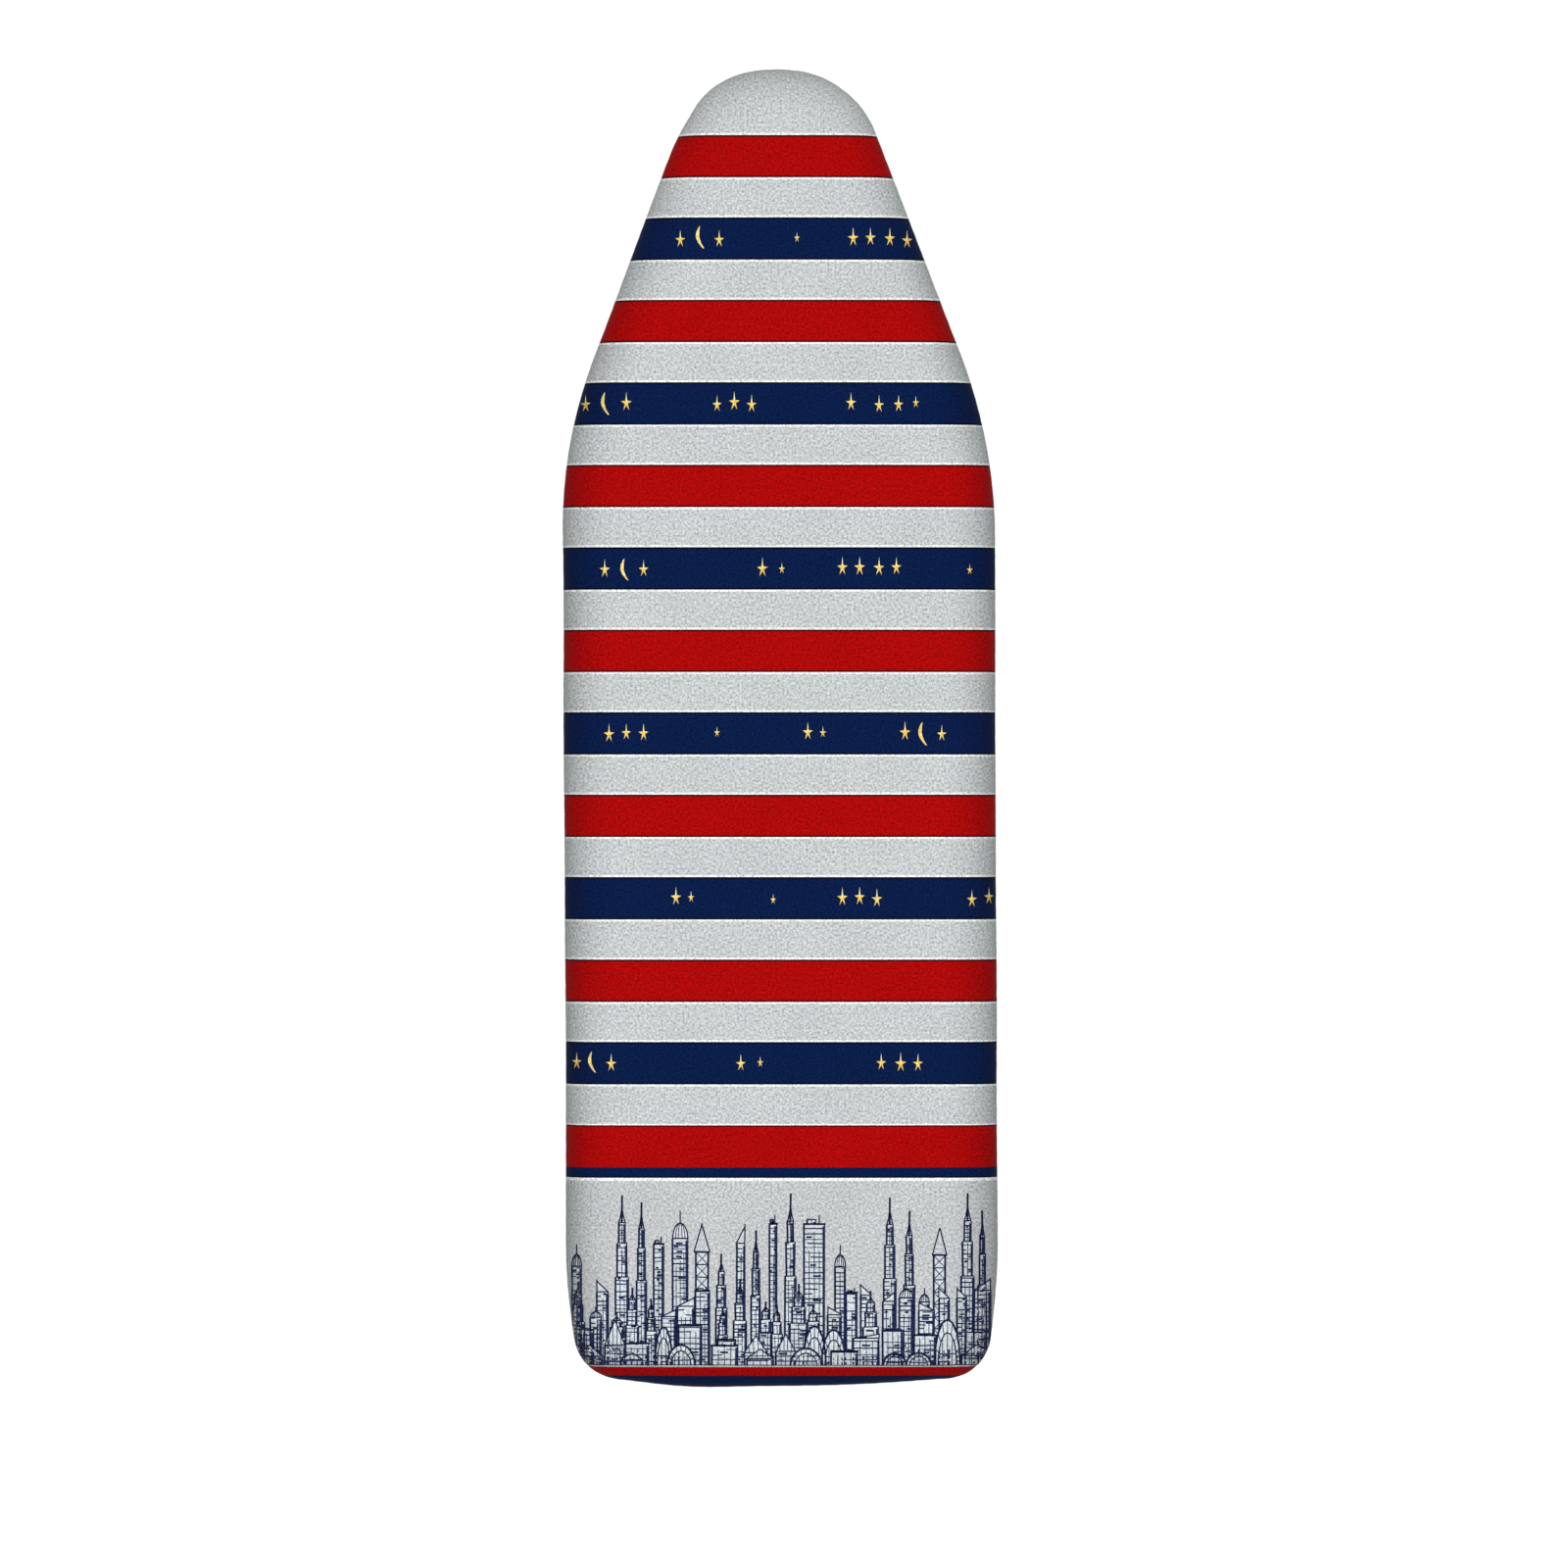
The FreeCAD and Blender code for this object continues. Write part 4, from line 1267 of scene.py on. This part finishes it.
def applied(name, source):
    """New object with the source's modifiers applied to its mesh; the source is removed."""
    depsgraph = bpy.context.evaluated_depsgraph_get()
    mesh = bpy.data.meshes.new_from_object(source.evaluated_get(depsgraph))
    mesh.name = name
    mesh.polygons.foreach_set("use_smooth", [True] * len(mesh.polygons))
    made = bpy.data.objects.new(name, mesh)
    bpy.context.scene.collection.objects.link(made)
    bpy.data.objects.remove(source)
    return made


def swollen(pad):
    """Where the pad's points are once Cloth has blown it up."""
    scene = bpy.context.scene
    cloth = pad.modifiers.new("swell", "CLOTH")
    cloth.settings.use_pressure = True
    cloth.settings.uniform_pressure_force = PAD_PRESSURE
    cloth.settings.effector_weights.gravity = 0
    cloth.point_cache.frame_start = 1
    cloth.point_cache.frame_end = PAD_FRAMES
    for number in range(1, PAD_FRAMES + 1):
        scene.frame_set(number)
    depsgraph = bpy.context.evaluated_depsgraph_get()
    moved = [v.co.copy() for v in pad.evaluated_get(depsgraph).data.vertices]
    pad.modifiers.remove(cloth)
    scene.frame_set(1)
    return moved


def fill_cover(pad):
    """Swell the pad by at most PAD_SWELL, and keep it on the plate and inside the cloth.
    """
    skin = BVHTree.FromPolygons([Vector(p) for p in cover_points], cover_faces)
    room = CLOTH_THICKNESS + PAD_CLEARANCE
    targets = [v.co + v.normal * PAD_SWELL for v in pad.data.vertices]
    targets = swollen(pad)
    for vertex, target in zip(pad.data.vertices, targets):
        move = target - vertex.co
        place = vertex.co + move * min(1.0, PAD_SWELL / max(move.length, 1e-9))
        for _ in range(2):
            near, normal, _, _ = skin.find_nearest(place)
            gap = (place - near).dot(normal)
            if gap > -room:
                place -= normal * (gap + room)
        place.z = max(place.z, PAD_LOW.z)
        vertex.co = place


pad = pad_start()
fill_cover(pad)
pad.modifiers.new("smooth", "SUBSURF").render_levels = 1
pad.modifiers["smooth"].levels = 1
pad.data.materials.append(foam())
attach(pad, "top")
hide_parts("foam_pad")


# ---------------------------------------------------------------- hem
HEM_GATHER = 1.0
TAPE_INSET = HALF_WIDTH - BINDING_HIGH.x
TAPE_WIDTH = 9.0 * MM
TAPE_THICKNESS = 0.45 * MM
TAPE_LIP = 0.75 * MM
TAPE_BELLY = 1.4 * MM
ELASTIC_WIDTH = 4.0 * MM
ELASTIC_THICKNESS = 1.1 * MM
ELASTIC_ROUND = 0.3 * MM
ELASTIC_PLAY = 0.3 * MM
WRINKLE = 0.35 * MM
WRINKLE_LENGTH = 4.5 * MM
# Half of the binding's gap in the wide end, in samples of the outline
HEM_GAP = round(7 * MM / SPACING)
# Height of the hem's middle at each point round the board
HEM_MIDDLE = COVER_BOTTOM - pucker_drop(HEM_GATHER)


def tape_skin(offset):
    """Section of one side of the folded tape, from its lower edge round the fold to its upper edge."""
    skin = []
    steps = 7
    fold = 0.8
    for k in range(steps + 1):
        share = fold * k / steps
        half = TAPE_LIP + (TAPE_BELLY - TAPE_LIP) * float(smooth_step(share / 0.5))
        skin.append((share, half - offset))
    lower = [(TAPE_INSET + share * TAPE_WIDTH, -half) for share, half in skin]
    upper = [(inset, -height) for inset, height in lower[::-1]]
    turn = []
    reach = (1 - fold) * TAPE_WIDTH - offset
    turn_steps = 6
    for k in range(1, turn_steps):
        angle = -90 + 180 * k / turn_steps
        inset = TAPE_INSET + fold * TAPE_WIDTH + reach * cosine(angle)
        turn.append((inset, (TAPE_BELLY - offset) * sine(angle)))
    return lower + turn + upper


def swept_round(name, section, indices, closed):
    """Closed section, of (inset, height above the hem's middle), swept along the hem."""
    fine = WRINKLE * round_noise(WRINKLE_LENGTH, 21.5)
    points = []
    for index in indices:
        for inset, height in section:
            flat = EDGE[index] - OUTWARD[index] * inset
            wrinkle = fine[index] * (1 if height < 0 else 0.4)
            points.append((*flat, HEM_MIDDLE[index] + height + wrinkle))
    count = len(section)
    rings = len(indices)
    faces = ring_faces(rings, count, closed)
    if not closed:
        half = count // 2
        for start, flip in ((0, False), ((rings - 1) * count, True)):
            for k in range(half - 1):
                quad = (start + k, start + count - 1 - k, start + count - 2 - k, start + k + 1)
                faces.append(quad[::-1] if flip else quad)
    return mesh_object(name, points, faces)


def tape_binding():
    """Folded tape round the hem, with a short gap in the middle of the wide end."""
    section = tape_skin(0.0) + tape_skin(TAPE_THICKNESS)[::-1]
    tail = ROUND // 2
    indices = [(tail + HEM_GAP + k) % ROUND for k in range(ROUND - 2 * HEM_GAP + 1)]
    return swept_round("gathered_binding", section, indices, False)


def elastic_band():
    """Flat elastic in the fold of the binding, which shows in the gap."""
    inner = TAPE_INSET + TAPE_WIDTH - TAPE_THICKNESS - ELASTIC_PLAY
    outer = inner - ELASTIC_WIDTH
    edge = ELASTIC_ROUND
    half = ELASTIC_THICKNESS / 2
    corners = [
        (outer, -half + edge), (outer + edge, -half), (inner - edge, -half), (inner, -half + edge),
        (inner, half - edge), (inner - edge, half), (outer + edge, half), (outer, half - edge),
    ]
    return swept_round("elastic_band", corners, list(range(ROUND)), True)


binding = tape_binding()
binding.data.materials.append(tape())
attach(binding, "top")
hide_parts("hem_binding")

elastic = elastic_band()
elastic.data.materials.append(braid())
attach(elastic, "top")
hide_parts("hem_elastic")


# ---------------------------------------------------------------- thread, welds and ribs
class Pieces:
    """Many small tubes gathered into one mesh."""

    def __init__(self):
        self.points = []
        self.faces = []

    def tube(self, path, radii, sides=6, closed=False):
        """Round tube along a path, with a radius at each point and rounded-off ends."""
        start = len(self.points)
        count = len(path)
        for k, radius in enumerate(radii):
            before = path[k - 1] if k or closed else path[0]
            after = path[(k + 1) % count] if k + 1 < count or closed else path[k]
            ahead = (after - before).normalized()
            first = ahead.cross(Vector((0.31, 0.17, 0.93))).normalized()
            second = ahead.cross(first)
            for side in range(sides):
                turn = 360 * side / sides
                self.points.append(path[k] + (first * cosine(turn) + second * sine(turn)) * radius)
        self.faces += ring_faces(count, sides, closed, start)
        if not closed:
            self.faces.append(tuple(start + side for side in range(sides))[::-1])
            self.faces.append(tuple(start + (count - 1) * sides + side for side in range(sides)))

    def show(self, name, body, slot_name, material):
        """The finished piece, riding on a body."""
        shown = mesh_object(name, self.points, self.faces)
        shown.data.materials.append(material)
        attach(shown, body)
        return shown


STITCH_PITCH = 3.0 * MM
STITCH_LENGTH = 2.5 * MM
STITCH_MISS = 0.15 * MM
STITCH_SINK = 0.12 * MM
THREAD = 0.2 * MM
STITCH_INSET = TAPE_INSET + 1.3 * MM
# Share of a stitch's length, depth in millimetres and thickness, from its start to its end
STITCH_PROFILE = [(0, -0.25, 0.6), (0.2, 0.1, 1.0), (0.5, 0.2, 1.05), (0.8, 0.1, 1.0), (1, -0.25, 0.6)]


def hem_spot(along, inset, depth):
    """Point under the hem, a distance along the outline, below its middle."""
    place = along / SPACING % ROUND
    first = int(place)
    share = place - first
    ends = []
    for index in (first % ROUND, (first + 1) % ROUND):
        flat = EDGE[index] - OUTWARD[index] * inset
        ends.append(Vector((*flat, HEM_MIDDLE[index] - depth)))
    return ends[0].lerp(ends[1], share)


def hem_stitches():
    """One row of stitches through the binding, from one side of the gap to the other."""
    thread = Pieces()
    tail = ROUND * SPACING / 2
    first = tail + (HEM_GAP + 1) * SPACING
    count = int((ROUND - 2 * HEM_GAP - 2) * SPACING / STITCH_PITCH)
    for number in range(count):
        start = first + number * STITCH_PITCH + draw.uniform(-STITCH_MISS, STITCH_MISS)
        path, radii = [], []
        for share, deeper, size in STITCH_PROFILE:
            depth = TAPE_LIP + STITCH_SINK + deeper * MM
            path.append(hem_spot(start + share * STITCH_LENGTH, STITCH_INSET, depth))
            radii.append(THREAD * size)
        thread.tube(path, radii)
    return thread


thread = hem_stitches().show("hem_stitches", "top", "binding_tape", thread_finish())

# Each leg leans by the splay, to the nose (1) or to the wide end (-1)
LEANS = {"front": 1, "rear": -1}
LEG_SPLAY = 10
# Lean of the stop lug from straight up, and how far beside its faces the beads lie, in degrees
STOP_LUG_TILT = 27
BEAD_TURN = 6
STOP_LUG_THICKNESS = 3 * MM
LEG_TIE_DROP = 92 * MM
LEG_HALF_WIDTH = 66 * MM
TUBE_RADIUS = 6 * MM
TIE_RADIUS = 4 * MM
RIM_RADIUS = 4 * MM
RIM_MIDDLE_INSET = 5.3 * MM
FOOT_RADIUS = 9 * MM
BEAD = 1.5 * MM
BEAD_RIPPLE = 1.7 * MM
BEAD_STEP = BEAD_RIPPLE / 4
BEAD_LIFT = 0.2 * MM
TIE_STEPS = 24


def pivot(end):
    """Middle of a leg's top bar."""
    low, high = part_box(f"{end}_left_hinge_saddle")
    return Vector((0, (low.y + high.y) / 2, high.z))


def on_leg(end, x, y, z):
    """Point given about the leg's pivot, with the leg hanging along -Z and folding towards -Y."""
    turned_y = y * cosine(LEG_SPLAY) - z * sine(LEG_SPLAY)
    turned_z = y * sine(LEG_SPLAY) + z * cosine(LEG_SPLAY)
    return pivot(end) + Vector((LEANS[end] * x, LEANS[end] * turned_y, turned_z))


def bead(pieces, path, closed=False):
    """Weld bead along a path, rippled as the weld pool left it."""
    lengths = [(b - a).length for a, b in zip(path, path[1:])]
    steps = max(8, round(sum(lengths) / BEAD_STEP))
    spots, radii = [], []
    for step in range(steps if closed else steps + 1):
        along = sum(lengths) * step / steps
        index = 0
        while index < len(lengths) - 1 and along > lengths[index]:
            along -= lengths[index]
            index += 1
        share = min(1.0, along / max(lengths[index], 1e-9))
        spots.append(path[index].lerp(path[index + 1], share))
        ripple = (step * BEAD_STEP / BEAD_RIPPLE) % 1
        radii.append(BEAD * (0.86 + 0.2 * math.sqrt(ripple) + draw.uniform(-0.03, 0.03)))
    if not closed:
        radii[0] *= 0.5
        radii[-1] *= 0.5
    pieces.tube(spots, radii, 8, closed)


def frame_welds():
    """Beads where each strap meets the rim rod, on the straps' lower corners."""
    welds = Pieces()
    reach = math.sqrt(RIM_RADIUS**2 - (RIM_RADIUS / 2) ** 2)
    for strap in (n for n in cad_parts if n.endswith("_strap")):
        low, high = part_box(strap)
        for side in (-1, 1):
            path = []
            for share in (0.12, 0.5, 0.88):
                y = low.y + share * (high.y - low.y)
                x = float(side_half_width(y)) - (RIM_MIDDLE_INSET + reach) / cosine(edge_slope(y))
                path.append(Vector((side * x, y, low.z - BEAD_LIFT)))
            bead(welds, path)
    return welds


def edge_slope(y):
    """Angle between the board's side and the Y axis at y, in degrees."""
    step = 2 * MM
    return math.degrees(math.atan((side_half_width(y - step) - side_half_width(y + step)) / (2 * step)))


def leg_welds(end):
    """Beads round both ends of the tie and along both faces of the stop lug."""
    welds = Pieces()
    for side in (-1, 1):
        circle = []
        for k in range(TIE_STEPS + 1):
            turn = 360 * k / TIE_STEPS
            saddle = TUBE_RADIUS * (1 - math.sqrt(1 - (TIE_RADIUS * sine(turn) / TUBE_RADIUS) ** 2))
            x = side * (LEG_HALF_WIDTH - TUBE_RADIUS + saddle - 0.4 * MM)
            y = (TIE_RADIUS + 0.3 * MM) * sine(turn)
            z = (TIE_RADIUS + 0.3 * MM) * cosine(turn) - LEG_TIE_DROP
            circle.append(on_leg(end, x, y, z))
        bead(welds, circle, True)
    low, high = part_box(f"{end}_leg_stop_lug")
    for face in (-1, 1):
        around = STOP_LUG_TILT + face * math.degrees(math.asin(STOP_LUG_THICKNESS / 2 / TUBE_RADIUS))
        y = LEANS[end] * (TUBE_RADIUS + BEAD_LIFT) * sine(around + face * BEAD_TURN)
        z = (TUBE_RADIUS + BEAD_LIFT) * cosine(around + face * BEAD_TURN)
        base = pivot(end)
        bead(welds, [base + Vector((x, y, z)) for x in (low.x + 1 * MM, 0.0, high.x - 1 * MM)])
    return welds


# Height above the sole and thickness of a foot's three ribs and its upper lip, in millimetres
RIBS = [(10, 0.5), (14, 0.5), (18, 0.5), (25.4, 0.7)]
RIB_STEPS = 36


def foot_ribs(end, side):
    """Three raised rings round a foot, with its upper lip."""
    ribs = Pieces()
    sole = pivot(end).z / cosine(LEG_SPLAY)
    reach = FOOT_RADIUS - 0.05 * MM
    for height, size in RIBS:
        ring = []
        for k in range(RIB_STEPS):
            turn = 360 * k / RIB_STEPS
            x = side * LEG_HALF_WIDTH + reach * sine(turn)
            ring.append(on_leg(end, x, reach * cosine(turn), height * MM - sole))
        ribs.tube(ring, [size * MM] * RIB_STEPS, 8, True)
    return ribs


frame_paint = powder_coat("frame_powder_coat", srgb("b4b8ba"))
leg_paint = powder_coat("leg_powder_coat", srgb("cfd1d1"))
frame_welds().show("frame_welds", "top", "frame_enamel", frame_paint)
soft_rubber = rubber()
for end in LEANS:
    leg_welds(end).show(f"{end}_leg_welds", f"{end}_leg", "leg_enamel", leg_paint)
    for side, sign in (("left", -1), ("right", 1)):
        ribs = foot_ribs(end, sign * LEANS[end])
        ribs.show(f"{end}_{side}_foot_ribs", f"{end}_leg", "rubber", soft_rubber)

# Finishes of the CAD pieces that stay
FINISHES = {
    "steam_plate": galvanised(),
    "rim_rod": frame_paint,
    "_strap": frame_paint,
    "_leg_tube": leg_paint,
    "_leg_tie": leg_paint,
    "_leg_stop_lug": leg_paint,
    "_hinge_saddle": zinc(),
    "_rivets": zinc(),
    "_hinge_seat": nylon(),
    "_rest_clip": nylon(),
    "_foot": soft_rubber,
}
for name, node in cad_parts.items():
    for ending, material in FINISHES.items():
        if name.endswith(ending):
            node.data.materials.clear()
            node.data.materials.append(material)


# ---------------------------------------------------------------- room
FLOOR_HALF = 3.0
FLOOR_GLOW = 0.25
LAMP_HEIGHT = 3.6
LAMP_ASIDE = 0.5
LAMP_SIZE = 1.0
LAMP_POWER = 35
WORLD_LIGHT = 0.36
CAMERA_DISTANCE = 4.0
CAMERA_ASIDE = 0.002
PICTURE_PER_BOARD = 1.19
BOARD_RAISED_IN_PICTURE = 0.043
CORNERS = [(-1, -1), (1, -1), (1, 1), (-1, 1)]


def stage():
    """Pale floor that the board stands on, very slightly lit by itself."""
    corners = [(x * FLOOR_HALF, y * FLOOR_HALF, 0) for x, y in CORNERS]
    floor = mesh_object("floor", corners, [(0, 1, 2, 3)])
    glow = {"Emission_Color": (1, 1, 1, 1), "Emission_Strength": FLOOR_GLOW}
    finish = Finish("pale_floor", roughness=0.8, **glow)
    mottled = finish.noise(finish.position(), 0.5, 2.0)
    colour = finish.mix(mottled, (0.90, 0.90, 0.90, 1), (0.93, 0.93, 0.93, 1))
    floor.data.materials.append(finish.finish(colour))


def softbox(name, place):
    """Square area light aimed at the board."""
    light = bpy.data.lights.new(name, "AREA")
    light.energy = LAMP_POWER
    light.size = LAMP_SIZE
    lamp = bpy.data.objects.new(name, light)
    lamp.location = place
    aim = Vector((0, 0, COVER_TOP)) - Vector(place)
    lamp.rotation_euler = aim.to_track_quat("-Z", "Y").to_euler()
    lamp.visible_camera = False
    bpy.context.scene.collection.objects.link(lamp)


def camera():
    """Long lens straight above the board, nose up."""
    lens = bpy.data.cameras.new("camera")
    lens.lens = CAMERA_DISTANCE * lens.sensor_width / (PICTURE_PER_BOARD * 2 * HALF_LENGTH)
    lens.clip_end = 20
    shown = bpy.data.objects.new("camera", lens)
    lower = BOARD_RAISED_IN_PICTURE * 2 * HALF_LENGTH
    shown.location = (CAMERA_ASIDE, -lower, COVER_TOP + CAMERA_DISTANCE)
    bpy.context.scene.collection.objects.link(shown)
    bpy.context.scene.camera = shown


def white_room():
    """Even white light from all round."""
    world = bpy.data.worlds.new("studio")
    world.use_nodes = True
    background = world.node_tree.nodes["Background"]
    background.inputs["Color"].default_value = (1, 1, 1, 1)
    background.inputs["Strength"].default_value = WORLD_LIGHT
    bpy.context.scene.world = world


stage()
camera()
for number, (x, y) in enumerate(CORNERS):
    softbox(f"softbox_{number}", (x * LAMP_ASIDE, y * LAMP_ASIDE, LAMP_HEIGHT))
white_room()
bpy.context.scene.view_settings.view_transform = "Standard"
